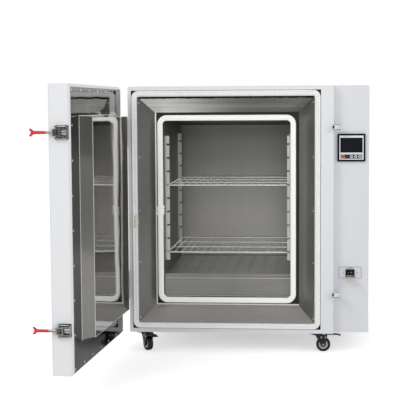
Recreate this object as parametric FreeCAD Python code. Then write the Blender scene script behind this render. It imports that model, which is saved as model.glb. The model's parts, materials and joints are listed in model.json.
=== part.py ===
import FreeCAD, Part
import math
import os

# Forced-air drying oven on four casters, with its door standing open.
# Millimetres, +Z up, the front faces -Y, the floor is at z = 0 and the origin
# lies under the centre of the cabinet, control column included.

V = FreeCAD.Vector
along_x = V(1, 0, 0)
along_y = V(0, 1, 0)
along_z = V(0, 0, 1)

# Cabinet
block_width = 715.0
column_width = 123.0
cabinet_height = 863.0
cabinet_depth = 740.0
column_setback = 37.0
case_sheet = 1.5
steel_sheet = 1.2

# Mouth of the oven, measured from the outline of the block
margin_left = 12.0
margin_right = 44.0
margin_top = 14.0
margin_bottom = 14.0
channel_width = 21.5
channel_depth = 12.0
throat_taper = 55.0
throat_depth = 55.0
ledge_width = 28.0
chamber_depth = 550.0
plenum_depth = 48.0
seal_gap = 0.6
rope_width = 19.5
rope_reach = 1.0
rope_corner = 11.0
rope_crown = 5.0

# False floor, shelf standards and shelves
floor_height = 81.0
floor_lip = 14.0
slot_columns = 8
slot_column_pitch = 48.3
slot_rows = 9
slot_row_pitch = 55.0
slot_length = 17.0
slot_width = 6.0
standard_width = 18.0
standard_rise = 14.0
standard_length = 446.0
standard_bottom = 124.0
standard_front = 126.0
standard_spacing = 406.0
notch_pitch = 48.2
notch_count = 9
notch_height = 7.0
notch_first = 150.5
upper_shelf_notch = 5
lower_shelf_notch = 0
shelf_width = 438.0
shelf_depth = 482.0
shelf_setback = 52.0
frame_wire = 2.5
grid_wire = 1.4
grid_pitch = 25.4
cross_rods = 4

# Door
door_width = 690.0
door_height = 858.0
door_thickness = 66.0
door_gap = 10.0
door_left = 10.0
door_bottom = 3.0
door_flange = 9.0
door_bevel = 6.5
door_corner = 8.0
door_open_angle = 93.1
plug_depth = 42.0
plug_taper = 7.0
plug_hinge_inset = 12.5
plug_free_inset = -1.5
plug_edge_inset = 12.0
pivot_x = -17.0
pivot_y = -10.0
hinge_length = 98.0
hinge_heights = (118.0, 655.0)
knuckle_radius = 8.0
hinge_pin_radius = 4.0
running_fit = 0.05

# Latch clamps on the free edge of the door, and their keepers
latch_heights = (140.0, 720.0)
latch_plate_length = 37.0
latch_plate_height = 41.0
latch_start = 4.0
flange_spread = 12.0
lever_pin_at = (30.0, 10.0)
bail_pin_at = (40.0, 8.2)
lever_pin_radius = 2.5
bail_pin_radius = 2.0
bail_wire = 2.0
bail_spread = 17.0
bail_reach = 34.0
bail_lift = 4.8
bail_bend = 5.0
lever_rod = 4.0
grip_start = 70.0
grip_end = 118.0
grip_radius = 5.2
fork_spread = 11.0
keeper_height = 18.0

# Casters
caster_height = 72.0
wheel_radius = 25.0
wheel_width = 19.0
caster_trail = 20.0
caster_plate = 60.0
kingpin_radius = 4.0
axle_radius = 4.0
pedal_reach = 80.0
front_axle_y = 55.0
rear_axle_y = 685.0
left_caster_x = 48.0
right_caster_x = 661.0

# Controller and main switch on the column
controller_size = 96.0
controller_rise = 648.0
screen_width = 76.5
screen_height = 51.0
screen_offset = 8.5
key_pitch = 14.6
key_row_drop = 31.0
key_travel = 1.2
switch_rise = 211.0
switch_plate_width = 76.5
switch_plate_height = 39.0
rocker_tilt = 8.0
cover_droop = 14.0

# Air path at the back
fan_radius = 90.0
fan_width = 32.0
fan_rise = 440.0
vane_count = 10
vane_bend = 60.0
shaft_radius = 5.0
motor_radius = 46.0
motor_length = 62.0
motor_cover_size = 210.0
motor_cover_depth = 96.0
exhaust_radius = 25.0
exhaust_swage = 1.0
exhaust_length = 62.0
exhaust_right = 110.0
exhaust_drop = 178.0
damper_at = 14.0
swage_behind_damper = 6.0
return_slot = 24.0
shaft_hole_radius = 9.0
damper_spindle_radius = 2.5

# Heater under the false floor
heater_count = 4
heater_tube = 4.0
heater_bend = 24.0
heater_rise = 36.0

# Places worked out from the sizes above
x_left = -(block_width + column_width) / 2
x_block = x_left + block_width
x_right = x_block + column_width
y_front = -cabinet_depth / 2
y_rear = cabinet_depth / 2
z_base = caster_height
z_top = z_base + cabinet_height
y_column = y_front + column_setback

channel_rect = (x_left + margin_left, x_block - margin_right,
                z_base + margin_bottom, z_top - margin_top)


def grown(rect, by):
    """A rectangle (x0, x1, z0, z1) grown on all four sides."""
    return (rect[0] - by, rect[1] + by, rect[2] - by, rect[3] + by)


mouth_rect = grown(channel_rect, -channel_width)
inner_rect = grown(mouth_rect, -throat_taper)
chamber_rect = grown(inner_rect, -ledge_width)
y_ledge = y_front + throat_depth
y_chamber = y_ledge + steel_sheet
y_back_panel = y_chamber + chamber_depth
y_liner_back = y_back_panel + steel_sheet + plenum_depth
z_floor = chamber_rect[2] + floor_height
y_liner_plane = y_front - door_gap
pivot = V(x_left + pivot_x, y_front + pivot_y, 0)
door_x0 = x_left + door_left
door_x1 = door_x0 + door_width
door_z0 = z_base + door_bottom
door_z1 = door_z0 + door_height
door_y_outer = y_liner_plane - door_thickness
fan_x = (chamber_rect[0] + chamber_rect[1]) / 2
fan_z = z_base + fan_rise
duct_radius = exhaust_radius - exhaust_swage
exhaust_x = chamber_rect[1] - exhaust_right
exhaust_z = z_top - exhaust_drop
column_x = x_block + column_width / 2
controller_z = z_base + controller_rise
switch_z = z_base + switch_rise


def box(x0, x1, y0, y1, z0, z1):
    return Part.makeBox(x1 - x0, y1 - y0, z1 - z0, V(x0, y0, z0))


def slab(rect, y0, y1):
    """A plate with the outline rect between two depths."""
    return box(rect[0], rect[1], y0, y1, rect[2], rect[3])


def rod(radius, start, end):
    reach = end - start
    return Part.makeCylinder(radius, reach.Length, start, reach)


def rounded_slab(rect, radius, y0, y1):
    """A plate whose four corners are rounded."""
    plate = slab(rect, y0, y1)
    edges = [edge for edge in plate.Edges
             if abs(edge.Vertexes[0].Point.y - edge.Vertexes[1].Point.y) > (y1 - y0) / 2]
    return plate.makeFillet(radius, edges)


def prism(points, reach):
    """A closed outline of points, pushed along reach."""
    outline = Part.makePolygon(points + [points[0]])
    return Part.Face(outline).extrude(reach)


def joined(shapes):
    first, rest = shapes[0], shapes[1:]
    return first.fuse(rest).removeSplitter() if rest else first


def opened(shape):
    """Swings a piece of the closed door out to where the door stands."""
    swung = shape.copy()
    swung.rotate(pivot, along_z, -door_open_angle)
    return swung


def save(name, shape):
    shape.exportStep(os.path.join("parts", name + ".step"))


def rect_wire(rect, y):
    corners = [V(x, y, z) for x, z in ((rect[0], rect[2]), (rect[1], rect[2]), (rect[1], rect[3]),
                                       (rect[0], rect[3]))]
    return Part.makePolygon(corners + [corners[0]])


# Sheet-metal cabinet

def heater_rows():
    """The y of each heater hairpin's middle."""
    span = chamber_depth / heater_count
    return [y_chamber + span * (index + 0.5) for index in range(heater_count)]


def heater_legs(radius, x0, x1):
    """Both legs of every hairpin, as plain rods between two x."""
    z = chamber_rect[2] + heater_rise
    legs = []
    for y in heater_rows():
        for side in (-1, 1):
            leg_y = y + side * heater_bend
            legs.append(rod(radius, V(x0, leg_y, z), V(x1, leg_y, z)))
    return legs


leg_hole = heater_tube + 1.5
leg_end = x_block + 14.0
probe_radius = 2.4
probe_seat = 7.0
probe_z = chamber_rect[3] - 40.0
probe_y = y_back_panel + steel_sheet + plenum_depth / 2
probe_tip = chamber_rect[1] - 110.0
probe_end = x_block + 10.0


def probe_bore(radius):
    return rod(radius, V(probe_tip, probe_y, probe_z), V(probe_end + 5, probe_y, probe_z))


def shaft_hole(y):
    """The fan shaft's way through a wall near y."""
    return rod(shaft_hole_radius, V(fan_x, y - 5, fan_z), V(fan_x, y + 5, fan_z))


def exhaust_hole(radius, y):
    return rod(radius, V(exhaust_x, y - 5, exhaust_z), V(exhaust_x, y + 5, exhaust_z))


def outer_case():
    """Left side, top and right side, folded from one sheet."""
    y0 = y_front + case_sheet
    y1 = y_rear - case_sheet
    wrap = box(x_left, x_block, y0, y1, z_base, z_top)
    wrap = wrap.cut(box(x_left + case_sheet, x_block - case_sheet, y0 - 1, y1 + 1,
                        z_base - 1, z_top - case_sheet))
    holes = heater_legs(leg_hole, x_block - 10, x_block + 10) + [probe_bore(probe_radius + 0.6)]
    return wrap.cut(holes)


def base_pan():
    """Floor of the case with its four edges turned up."""
    x0 = x_left + case_sheet
    x1 = x_block - case_sheet
    y0 = y_front + case_sheet
    y1 = y_rear - case_sheet
    upstand = 9.0
    pan = box(x0, x1, y0, y1, z_base, z_base + upstand)
    return pan.cut(box(x0 + case_sheet, x1 - case_sheet, y0 + case_sheet, y1 - case_sheet,
                       z_base + case_sheet, z_base + upstand + 1))


def rear_panel():
    panel = box(x_left, x_block, y_rear - case_sheet, y_rear, z_base, z_top)
    return panel.cut([shaft_hole(y_rear), exhaust_hole(duct_radius + 0.3, y_rear)])


def front_fascia():
    """White frame round the gasket channel."""
    outline = (x_left, x_block, z_base, z_top)
    return slab(outline, y_front, y_front + case_sheet).cut(slab(channel_rect, y_front - 1, y_front + 5))


def gasket_channels():
    """Folded channel of the outer gasket, and the ledge that the inner one sits on."""
    floor_y = y_front + channel_depth
    lip = throat_wall_offset()
    outer = slab(channel_rect, y_front, floor_y + steel_sheet)
    pocket = slab(grown(channel_rect, -steel_sheet), y_front - 1, floor_y)
    inner_wall = slab(grown(mouth_rect, lip + steel_sheet), y_front, floor_y)
    opening = slab(grown(mouth_rect, lip), y_front - 1, floor_y + steel_sheet + 1)
    channel = outer.cut(pocket).fuse(inner_wall).cut(opening)
    ledge = slab(grown(inner_rect, lip), y_ledge, y_chamber)
    ledge = ledge.cut(slab(chamber_rect, y_ledge - 1, y_chamber + 1))
    return Part.makeCompound([channel.removeSplitter(), ledge])


def throat_wall_offset():
    """How far the outside of the tapered wall stands from its inside, across the mouth."""
    slope = math.atan2(throat_taper, throat_depth)
    return steel_sheet / math.cos(slope)


def throat_frame():
    """Four tapered panels mitred at the corners, from the mouth to the ledge."""
    offset = throat_wall_offset()
    outside = tapered(grown(mouth_rect, offset), y_front, grown(inner_rect, offset), y_ledge)
    return outside.cut(tapered(mouth_rect, y_front, inner_rect, y_ledge))


def outer_gasket():
    """Woven fibre seal: a stem in the channel and a wider crown in front of it."""
    seat = grown(channel_rect, -steel_sheet - 0.3)
    inner_wall = throat_wall_offset() + steel_sheet + 0.3
    stem = slab(seat, y_front - 0.4, y_front + channel_depth - 0.3)
    stem = stem.cut(slab(grown(mouth_rect, inner_wall), y_front - 5, y_front + channel_depth))
    crown_face = y_liner_plane + steel_sheet + seal_gap
    crown = rounded_slab(grown(channel_rect, -0.6), 25.0, crown_face, y_front - 0.4)
    crown = crown.cut(rounded_slab(grown(mouth_rect, 0.6), 8.0, y_liner_plane, y_front))
    corner_trim = rounded_slab(seat, 24.0, y_front - 5, y_front + channel_depth)
    return stem.common(corner_trim).fuse(crown).removeSplitter()


def inner_gasket():
    """Rope seal that the door plug presses on."""
    plug_face = y_liner_plane + plug_depth
    inside = grown(chamber_rect, -rope_reach)
    ring = rounded_slab(grown(inside, rope_width), rope_corner + rope_width,
                        plug_face + seal_gap, y_ledge - 0.3)
    ring = ring.cut(rounded_slab(inside, rope_corner, plug_face, y_ledge + 1))
    front = [edge for edge in ring.Edges if edge.BoundBox.YMax < plug_face + seal_gap + 0.01]
    return ring.makeFillet(rope_crown, front)


def chamber_liner():
    """Welded stainless box, open at the front."""
    shell = slab(grown(chamber_rect, steel_sheet), y_chamber, y_liner_back + steel_sheet)
    shell = shell.cut(slab(chamber_rect, y_chamber - 1, y_liner_back))
    holes = heater_legs(leg_hole, chamber_rect[1] - 2, chamber_rect[1] + 5)
    holes += [shaft_hole(y_liner_back), exhaust_hole(duct_radius - steel_sheet, y_liner_back)]
    holes.append(probe_bore(probe_radius + 0.6))
    return shell.cut(holes)


def back_duct_panel():
    """False back wall, folded like a tray, with air slots above it and below it."""
    x0 = chamber_rect[0] + 0.5
    x1 = chamber_rect[1] - 0.5
    z0 = z_floor + 2.0
    z1 = chamber_rect[3] - return_slot
    tray = box(x0, x1, y_back_panel, y_liner_back, z0, z1)
    hollow = box(x0 + steel_sheet, x1 - steel_sheet, y_back_panel + steel_sheet, y_liner_back + 1,
                 z0 - 1, z1 + 1)
    return tray.cut([hollow, probe_bore(probe_seat + 1.0)])


def slotted_floor():
    """False floor over the heater: one folded sheet with rows of air slots."""
    x0 = chamber_rect[0] + 1.0
    x1 = chamber_rect[1] - 1.0
    y0 = y_chamber + 12.0
    y1 = y_back_panel - 1.0
    z0 = chamber_rect[2]
    lip_z = z_floor - floor_lip
    plate = box(x0, x1, y0, y1, z_floor - steel_sheet, z_floor)
    lip = box(x0, x1, y0, y0 + steel_sheet, lip_z, z_floor)
    step = box(x0, x1, y0 - 5.0, y0 + steel_sheet, lip_z - steel_sheet, lip_z)
    apron = box(x0, x1, y0 - 5.0, y0 - 5.0 + steel_sheet, z0, lip_z)
    legs = [box(x, x + 30, y1 - steel_sheet, y1, z0, z_floor) for x in (x0, x1 - 30)]
    folded = joined([plate, lip, step, apron] + legs)
    slots = []
    middle = (x0 + x1) / 2
    first_row = (y0 + y1) / 2 - (slot_rows - 1) / 2 * slot_row_pitch
    for column in range(slot_columns):
        x = middle + (column - (slot_columns - 1) / 2) * slot_column_pitch
        for row in range(slot_rows):
            y = first_row + row * slot_row_pitch
            slots.append(box(x - slot_length / 2, x + slot_length / 2,
                             y - slot_width / 2, y + slot_width / 2, z_floor - 3, z_floor + 1))
    return folded.cut(slots)


def notch_z(index):
    """Height of a notch's lower edge."""
    return chamber_rect[2] + notch_first + index * notch_pitch


def shelf_standards():
    """Four folded channels with notches for the shelves."""
    standards = []
    for y in (y_front + standard_front, y_front + standard_front + standard_spacing):
        for wall, side in ((chamber_rect[0], 1), (chamber_rect[1], -1)):
            standards.append(shelf_standard(wall, side, y))
    return Part.makeCompound(standards)


def shelf_standard(wall, side, y):
    """One channel on a chamber wall; side is the way it stands out."""
    z0 = chamber_rect[2] + standard_bottom
    half = standard_width / 2
    face = wall + side * standard_rise
    x0, x1 = sorted((wall, face))
    channel = box(x0, x1, y - half, y + half, z0, z0 + standard_length)
    hollow0, hollow1 = sorted((wall - side, face - side * case_sheet))
    channel = channel.cut(box(hollow0, hollow1, y - half + case_sheet, y + half - case_sheet,
                              z0 - 1, z0 + standard_length + 1))
    notches = []
    for index in range(notch_count):
        reach0, reach1 = sorted((wall + side * 4.0, face + side))
        z = notch_z(index)
        notches.append(box(reach0, reach1, y - half - 1, y + half + 1, z, z + notch_height))
    return channel.cut(notches)


def wire_shelf(notch):
    """Welded wire shelf: a bent rod frame, cross rods and a grid on top of them."""
    x0 = fan_x - shelf_width / 2 + frame_wire
    x1 = fan_x + shelf_width / 2 - frame_wire
    y0 = y_chamber + shelf_setback + frame_wire
    y1 = y0 + shelf_depth - 2 * frame_wire
    z = notch_z(notch) + frame_wire + 0.3
    wires = [bent_frame(x0, x1, y0, y1, z)]
    for index in range(1, cross_rods - 1):
        y = y0 + (y1 - y0) * index / (cross_rods - 1)
        wires.append(rod(frame_wire - 0.3, V(x0, y, z), V(x1, y, z)))
    count = int((x1 - x0 - 2 * standard_rise) // grid_pitch)
    top = z + frame_wire + grid_wire - 0.6
    for index in range(count + 1):
        x = fan_x + (index - count / 2) * grid_pitch
        wires.append(rod(grid_wire, V(x, y0 - 1.2, top), V(x, y1 + 1.2, top)))
    return joined(wires)


def bent_frame(x0, x1, y0, y1, z):
    """Rod bent to a rectangle with round corners."""
    bend = 10.0
    corners = [(x0, y0, 180), (x1, y0, 270), (x1, y1, 0), (x0, y1, 90)]
    arcs = []
    for x, y, start in corners:
        centre = V(x + (bend if x == x0 else -bend), y + (bend if y == y0 else -bend), z)
        turns = [math.radians(start + step) for step in (0, 45, 90)]
        ends = [centre + V(bend * math.cos(turn), bend * math.sin(turn), 0) for turn in turns]
        arcs.append(ends)
    edges = []
    for index, ends in enumerate(arcs):
        edges.append(Part.Arc(*ends).toShape())
        edges.append(Part.makeLine(ends[2], arcs[(index + 1) % 4][0]))
    path = Part.Wire(edges)
    section = Part.Wire(Part.makeCircle(frame_wire, V(x0, y0 + bend, z), along_y))
    return path.makePipeShell([section], True, False)


def insulation():
    """Mineral wool packed round the liner: a wrap on four sides and a slab behind."""
    y0 = y_chamber + steel_sheet
    y1 = y_rear - case_sheet
    y_slab = y_liner_back + steel_sheet
    inside = (x_left + case_sheet, x_block - case_sheet, z_base + case_sheet, z_top - case_sheet)
    liner = grown(chamber_rect, steel_sheet)
    wrap = slab(inside, y0, y_slab).cut(slab(liner, y0 - 1, y_slab + 1))
    rear = slab(inside, y_slab, y1)
    upstand = base_pan().BoundBox.ZMax
    foot = slab(inside, y0, y1).cut(box(inside[0] + case_sheet, inside[1] - case_sheet, y0 - 1,
                                        y1 - case_sheet, z_base, upstand + 1))
    foot = foot.common(box(x_left, x_block, y0, y1, z_base, upstand))
    cuts = heater_legs(leg_hole, chamber_rect[1], x_block)
    cuts.append(probe_bore(probe_radius + 0.6))
    for x, z, radius in ((fan_x, fan_z, shaft_hole_radius), (exhaust_x, exhaust_z, duct_radius + 0.3)):
        cuts.append(rod(radius, V(x, y_slab - 5, z), V(x, y1 + 5, z)))
    return wrap.fuse(rear).cut(foot).cut(cuts).removeSplitter()


# Heater, fan and exhaust

def heater_elements():
    """Sheathed hairpins under the false floor, with their terminals in the column."""
    z = chamber_rect[2] + heater_rise
    bend_x = chamber_rect[0] + 60.0
    pieces = []
    for y in heater_rows():
        start = V(leg_end, y - heater_bend, z)
        turn = V(bend_x, y - heater_bend, z)
        back = V(bend_x, y + heater_bend, z)
        end = V(leg_end, y + heater_bend, z)
        arc = Part.Arc(turn, V(bend_x - heater_bend, y, z), back).toShape()
        path = Part.Wire([Part.makeLine(start, turn), arc, Part.makeLine(back, end)])
        section = Part.Wire(Part.makeCircle(heater_tube, start, along_x))
        tube = path.makePipeShell([section], True, False)
        half = heater_bend + 9.0
        flange = box(chamber_rect[1] - 3.0, chamber_rect[1], y - half, y + half, z - 9, z + 9)
        hanger = box(bend_x + 40, bend_x + 43, y - half + 1, y + half - 1, chamber_rect[2], z + 7)
        pieces.append(joined([tube, flange, hanger]))
    return Part.makeCompound(pieces)


def fan_impeller():
    """Radial wheel with curved vanes on a long shaft through the insulation."""
    y_back = y_liner_back - (plenum_depth - fan_width) / 2
    y_mouth = y_back - fan_width
    centre_back = V(fan_x, y_back, fan_z)
    disc = rod(fan_radius, centre_back - along_y * 1.5, centre_back)
    ring = rod(fan_radius, V(fan_x, y_mouth, fan_z), V(fan_x, y_mouth + 1.5, fan_z))
    ring = ring.cut(rod(fan_radius * 0.62, V(fan_x, y_mouth - 1, fan_z), V(fan_x, y_mouth + 3, fan_z)))
    hub = rod(15.0, centre_back - along_y * 20, centre_back)
    shaft = rod(shaft_radius, centre_back - along_y * 24, V(fan_x, y_rear + motor_length, fan_z))
    wheel = [disc, ring, hub, shaft]
    for index in range(vane_count):
        vane = curved_vane(y_mouth, y_back)
        vane.rotate(V(fan_x, 0, fan_z), along_y, 360.0 * index / vane_count)
        wheel.append(vane)
    return joined(wheel)


def around(centre, radius, angle):
    return V(centre.x + radius * math.cos(angle), centre.y, centre.z + radius * math.sin(angle))


def curved_vane(y0, y1):
    """One vane, bent to an arc from the wheel's eye to its rim."""
    hub_centre = V(fan_x, y0 + 0.7, fan_z)
    inner = around(hub_centre, fan_radius * 0.55, 0)
    outer = around(hub_centre, fan_radius - 2.0, math.radians(30))
    chord = outer - inner
    rise = math.sqrt(vane_bend ** 2 - chord.Length ** 2 / 4)
    centre = (inner + outer) * 0.5 + V(-chord.z, 0, chord.x) * (rise / chord.Length)
    first = math.atan2(inner.z - centre.z, inner.x - centre.x)
    last = math.atan2(outer.z - centre.z, outer.x - centre.x)
    middle = (first + last) / 2

    near = [around(centre, vane_bend - 0.8, angle) for angle in (first, middle, last)]
    far = [around(centre, vane_bend + 0.8, angle) for angle in (first, middle, last)]
    outline = Part.Wire([Part.Arc(*near).toShape(), Part.makeLine(near[2], far[2]),
                         Part.Arc(*far).toShape(), Part.makeLine(far[0], near[0])])
    return Part.Face(outline).extrude(V(0, y1 - y0 - 1.4, 0))


def fan_motor():
    """Motor on a flange behind the rear panel, with end bells and cooling ribs."""
    centre = V(fan_x, y_rear, fan_z)
    body_start = centre + along_y * 12.0
    body_end = body_start + along_y * motor_length
    flange = rounded_slab((fan_x - 55, fan_x + 55, fan_z - 55, fan_z + 55), 10.0, y_rear, y_rear + 4.0)
    neck = rod(34.0, centre, body_start)
    body = rod(motor_radius - 4, body_start, body_end)
    ribs = []
    for index in range(5):
        start = body_start + along_y * (8 + index * 11.0)
        ribs.append(rod(motor_radius, start, start + along_y * 4.0))
    motor = joined([flange, neck, body] + ribs)
    bore = rod(shaft_radius + running_fit, centre - along_y, centre + along_y * (motor_length + 4))
    relief = rod(20.0, centre - along_y, centre + along_y * 8.0)
    return motor.cut([bore, relief])


def motor_cover():
    """Louvred box over the motor, with a flange screwed to the rear panel."""
    half = motor_cover_size / 2
    rect = (fan_x - half, fan_x + half, fan_z - half, fan_z + half)
    y_end = y_rear + motor_cover_depth
    shell = rounded_slab(rect, 8.0, y_rear, y_end)
    shell = shell.cut(rounded_slab(grown(rect, -case_sheet), 6.5, y_rear - 1, y_end - case_sheet))
    flange = slab(grown(rect, 16.0), y_rear, y_rear + case_sheet)
    flange = flange.cut(slab(grown(rect, -case_sheet), y_rear - 1, y_rear + 5))
    cover = shell.fuse(flange).removeSplitter()
    slots = []
    for row in range(8):
        z = fan_z - 70 + row * 20
        for side in (-1, 1):
            x = fan_x + side * 42
            slots.append(box(x - 30, x + 30, y_end - 5, y_end + 1, z - 3, z + 3))
    return cover.cut(slots)


def exhaust_pipe():
    """Outlet from the plenum, standing out behind the rear panel."""
    start = V(exhaust_x, y_liner_back + steel_sheet, exhaust_z)
    end = V(exhaust_x, y_rear + exhaust_length, exhaust_z)
    flange_start = V(exhaust_x, y_rear, exhaust_z)
    swage = flange_start + along_y * (damper_at + swage_behind_damper)
    pipe = joined([rod(duct_radius, start, swage), rod(exhaust_radius, swage, end),
                   rod(exhaust_radius + 14, flange_start, flange_start + along_y * 2)])
    bore = rod(duct_radius - case_sheet, start - along_y, end + along_y)
    swaged_bore = rod(exhaust_radius - case_sheet, swage + along_y * case_sheet, end + along_y)
    return pipe.cut([bore, swaged_bore, damper_spindle(running_fit, -40.0, 40.0)])


def damper_spindle(grow, x0, x1):
    """Spindle across the pipe, between two places left and right of its centre."""
    y = y_rear + damper_at
    return rod(damper_spindle_radius + grow, V(exhaust_x + x0, y, exhaust_z), V(exhaust_x + x1, y, exhaust_z))


def exhaust_damper():
    """Butterfly disc on its spindle, with a thumb lever at one end."""
    y = y_rear + damper_at
    radius = duct_radius - case_sheet - seal_gap
    disc = rod(radius, V(exhaust_x, y - 1, exhaust_z), V(exhaust_x, y + 1, exhaust_z))
    spindle = damper_spindle(0.0, -exhaust_radius - 3, exhaust_radius + 18)
    lever_x = exhaust_x + exhaust_radius + 10
    lever = box(lever_x, lever_x + 5, y - 4, y + 4, exhaust_z - 4, exhaust_z + 30)
    return joined([disc, spindle, lever])


def temperature_probe():
    """Sheathed sensor that reaches across the air plenum."""
    sheath = probe_bore(probe_radius)
    sheath = sheath.common(box(probe_tip - 1, probe_end, y_front, y_rear, z_base, z_top))
    head = rod(probe_seat, V(x_block, probe_y, probe_z), V(probe_end, probe_y, probe_z))
    seat = rod(probe_seat, V(chamber_rect[1] - 4, probe_y, probe_z), V(chamber_rect[1], probe_y, probe_z))
    return joined([sheath, head, seat])


# Control column

def control_housing():
    """Right side, top, bottom and rear of the column, open against the block."""
    y0 = y_column + case_sheet
    shell = box(x_block, x_right, y0, y_rear, z_base, z_top)
    return shell.cut(box(x_block - 1, x_right - case_sheet, y0 - 1, y_rear - case_sheet,
                         z_base + case_sheet, z_top - case_sheet)).cut(gland_bore())


gland_x = x_right - 45.0
gland_z = z_base + 60.0
gland_radius = 8.0


def gland_bore():
    return rod(gland_radius + 0.3, V(gland_x, y_rear - 10, gland_z), V(gland_x, y_rear + 10, gland_z))


def cable_gland():
    """Screwed gland for the supply cable at the foot of the column's rear."""
    def disc(radius, y0, y1):
        return rod(radius, V(gland_x, y_rear + y0, gland_z), V(gland_x, y_rear + y1, gland_z))

    corners = []
    for index in range(6):
        angle = math.radians(60 * index)
        corners.append(V(gland_x + 12 * math.cos(angle), y_rear, gland_z + 12 * math.sin(angle)))
    nut = prism(corners, along_y * 6)
    dome = disc(9.5, 6, 14)
    dome = dome.makeFillet(3.0, [edge for edge in dome.Edges if edge.BoundBox.YMin > y_rear + 13.9])
    lock_nut = disc(12.0, -case_sheet - 4, -case_sheet)
    body = joined([nut, dome, disc(gland_radius, -8, 6), lock_nut])
    return body.cut(disc(4.5, -10, 20))


controller_rect = (column_x - controller_size / 2, column_x + controller_size / 2,
                   controller_z - controller_size / 2, controller_z + controller_size / 2)
switch_rect = (column_x - switch_plate_width / 2 - 2.5, column_x + switch_plate_width / 2 - 2.5,
               switch_z - switch_plate_height / 2, switch_z + switch_plate_height / 2)
switch_x = (switch_rect[0] + switch_rect[1]) / 2
bezel_depth = 7.0
rocker_opening = (switch_x - 13.0, switch_x + 13.0, switch_z - 10.0, switch_z + 10.0)
rocker_frame = grown(rocker_opening, 2.5)


def control_front():
    """Front of the column with cut-outs for the controller and the switch."""
    panel = box(x_block, x_right, y_column, y_column + case_sheet, z_base, z_top)
    controller_hole = slab(grown(controller_rect, -2.0), y_column - 1, y_column + 5)
    switch_hole = slab(grown(rocker_frame, -0.5), y_column - 1, y_column + 5)
    return panel.cut([controller_hole, switch_hole])


def key_centres():
    z = controller_z - key_row_drop
    return [V(column_x + (index - 2) * key_pitch, y_column - bezel_depth, z) for index in range(5)]


def key_solid(index, grow, depth):
    """Outline of one key: the first two are square with round corners, the rest round."""
    centre = key_centres()[index]
    proud = 1.8
    half = 5.4 + grow
    if index < 2:
        rect = (centre.x - half - 0.6, centre.x + half + 0.6, centre.z - half, centre.z + half)
        return rounded_slab(rect, 2.0, centre.y - proud, centre.y + depth)
    return rod(half, centre - along_y * proud, centre + along_y * depth)


screen_z = controller_z + screen_offset
screen_rect = (column_x - screen_width / 2, column_x + screen_width / 2,
               screen_z - screen_height / 2, screen_z + screen_height / 2)


def controller_case():
    """Panel-mounted controller: bezel, box behind it, window and key pockets."""
    bezel = rounded_slab(controller_rect, 3.0, y_column - bezel_depth, y_column)
    body = slab(grown(controller_rect, -2.5), y_column, y_column + 66)
    case = bezel.fuse(body).removeSplitter()
    pockets = [slab(screen_rect, y_column - bezel_depth - 1, y_column - bezel_depth + 2.0)]
    pockets += [key_solid(index, 0.3, 6.0) for index in range(5)]
    return case.cut(pockets)


def controller_screen():
    return slab(grown(screen_rect, -0.1), y_column - bezel_depth + 0.6, y_column - bezel_depth + 2.0)


def controller_key(index):
    """A key that stands proud of the bezel and sinks by its travel."""
    return key_solid(index, 0.0, 6.0 - key_travel - 0.5)


pin_out = 6.8
pin_drop = 14.8
cover_pin_radius = 1.0
rocker_pin_radius = 1.5


def power_switch_plate():
    """Cover plate with the rocker's frame and the ears of its dust cover."""
    face = y_column - 2.0
    plate = slab(switch_rect, face, y_column).cut(slab(rocker_frame, face - 1, y_column + 1))
    frame = rounded_slab(rocker_frame, 1.0, face - 2.0, y_column)
    body = slab(grown(rocker_frame, -1.0), y_column, y_column + 26)
    solid = joined([plate, frame, body])
    ear_z = switch_z - pin_drop
    for side in (-1, 1):
        x0, x1 = sorted((switch_x + side * 18.2, switch_x + side * 20.2))
        ear = box(x0, x1, face - pin_out - 2.2, face, ear_z - 2.2, ear_z + 2.2)
        solid = solid.fuse(ear)
    pocket = slab(rocker_opening, face - 5, y_column + 10)
    pin = V(switch_x, face - pin_out, ear_z)
    pin_hole = rod(cover_pin_radius + running_fit, pin - along_x * 21, pin + along_x * 21)
    pivot_hole = rod(rocker_pin_radius + running_fit, rocker_pin(-12.0), rocker_pin(12.0))
    return solid.cut([pocket, pin_hole, pivot_hole]).removeSplitter()


def rocker_pin(offset):
    """A point on the rocker's upright pivot."""
    return V(switch_x, y_column + 2.0, switch_z + offset)


def power_rocker():
    """Double-pole rocker, tilted to its off side."""
    face = y_column - 4.0
    half = 11.6
    outline = [V(switch_x - half, face - 1.6, 0), V(switch_x, face, 0), V(switch_x + half, face - 1.6, 0),
               V(switch_x + half, y_column - 1.0, 0), V(switch_x + 6, y_column + 5.5, 0),
               V(switch_x - 6, y_column + 5.5, 0), V(switch_x - half, y_column - 1.0, 0)]
    solid = prism([point + V(0, 0, switch_z - 9.6) for point in outline], along_z * 19.2)
    pivots = rod(rocker_pin_radius, rocker_pin(-11.5), rocker_pin(11.5))
    solid = solid.fuse(pivots).removeSplitter()
    solid.rotate(rocker_pin(0), along_z, -rocker_tilt)
    return solid


def switch_cover():
    """Dust cover of the switch, hanging open on its two pins."""
    face = y_column - 2.0
    hinge = V(switch_x, face - pin_out, switch_z - pin_drop)
    half = 17.8
    leaf = box(switch_x - half, switch_x + half, hinge.y - 30, hinge.y, hinge.z - 0.6, hinge.z + 0.6)
    rim = box(switch_x - half, switch_x + half, hinge.y - 30, hinge.y - 28.8, hinge.z - 0.6, hinge.z + 3.0)
    barrel = rod(1.8, hinge - along_x * half, hinge + along_x * half)
    pins = rod(cover_pin_radius, hinge - along_x * 20.0, hinge + along_x * 20.0)
    cover = joined([leaf, rim, barrel, pins])
    cover.rotate(hinge, along_x, cover_droop)
    return cover


# Door and its hinges

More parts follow.
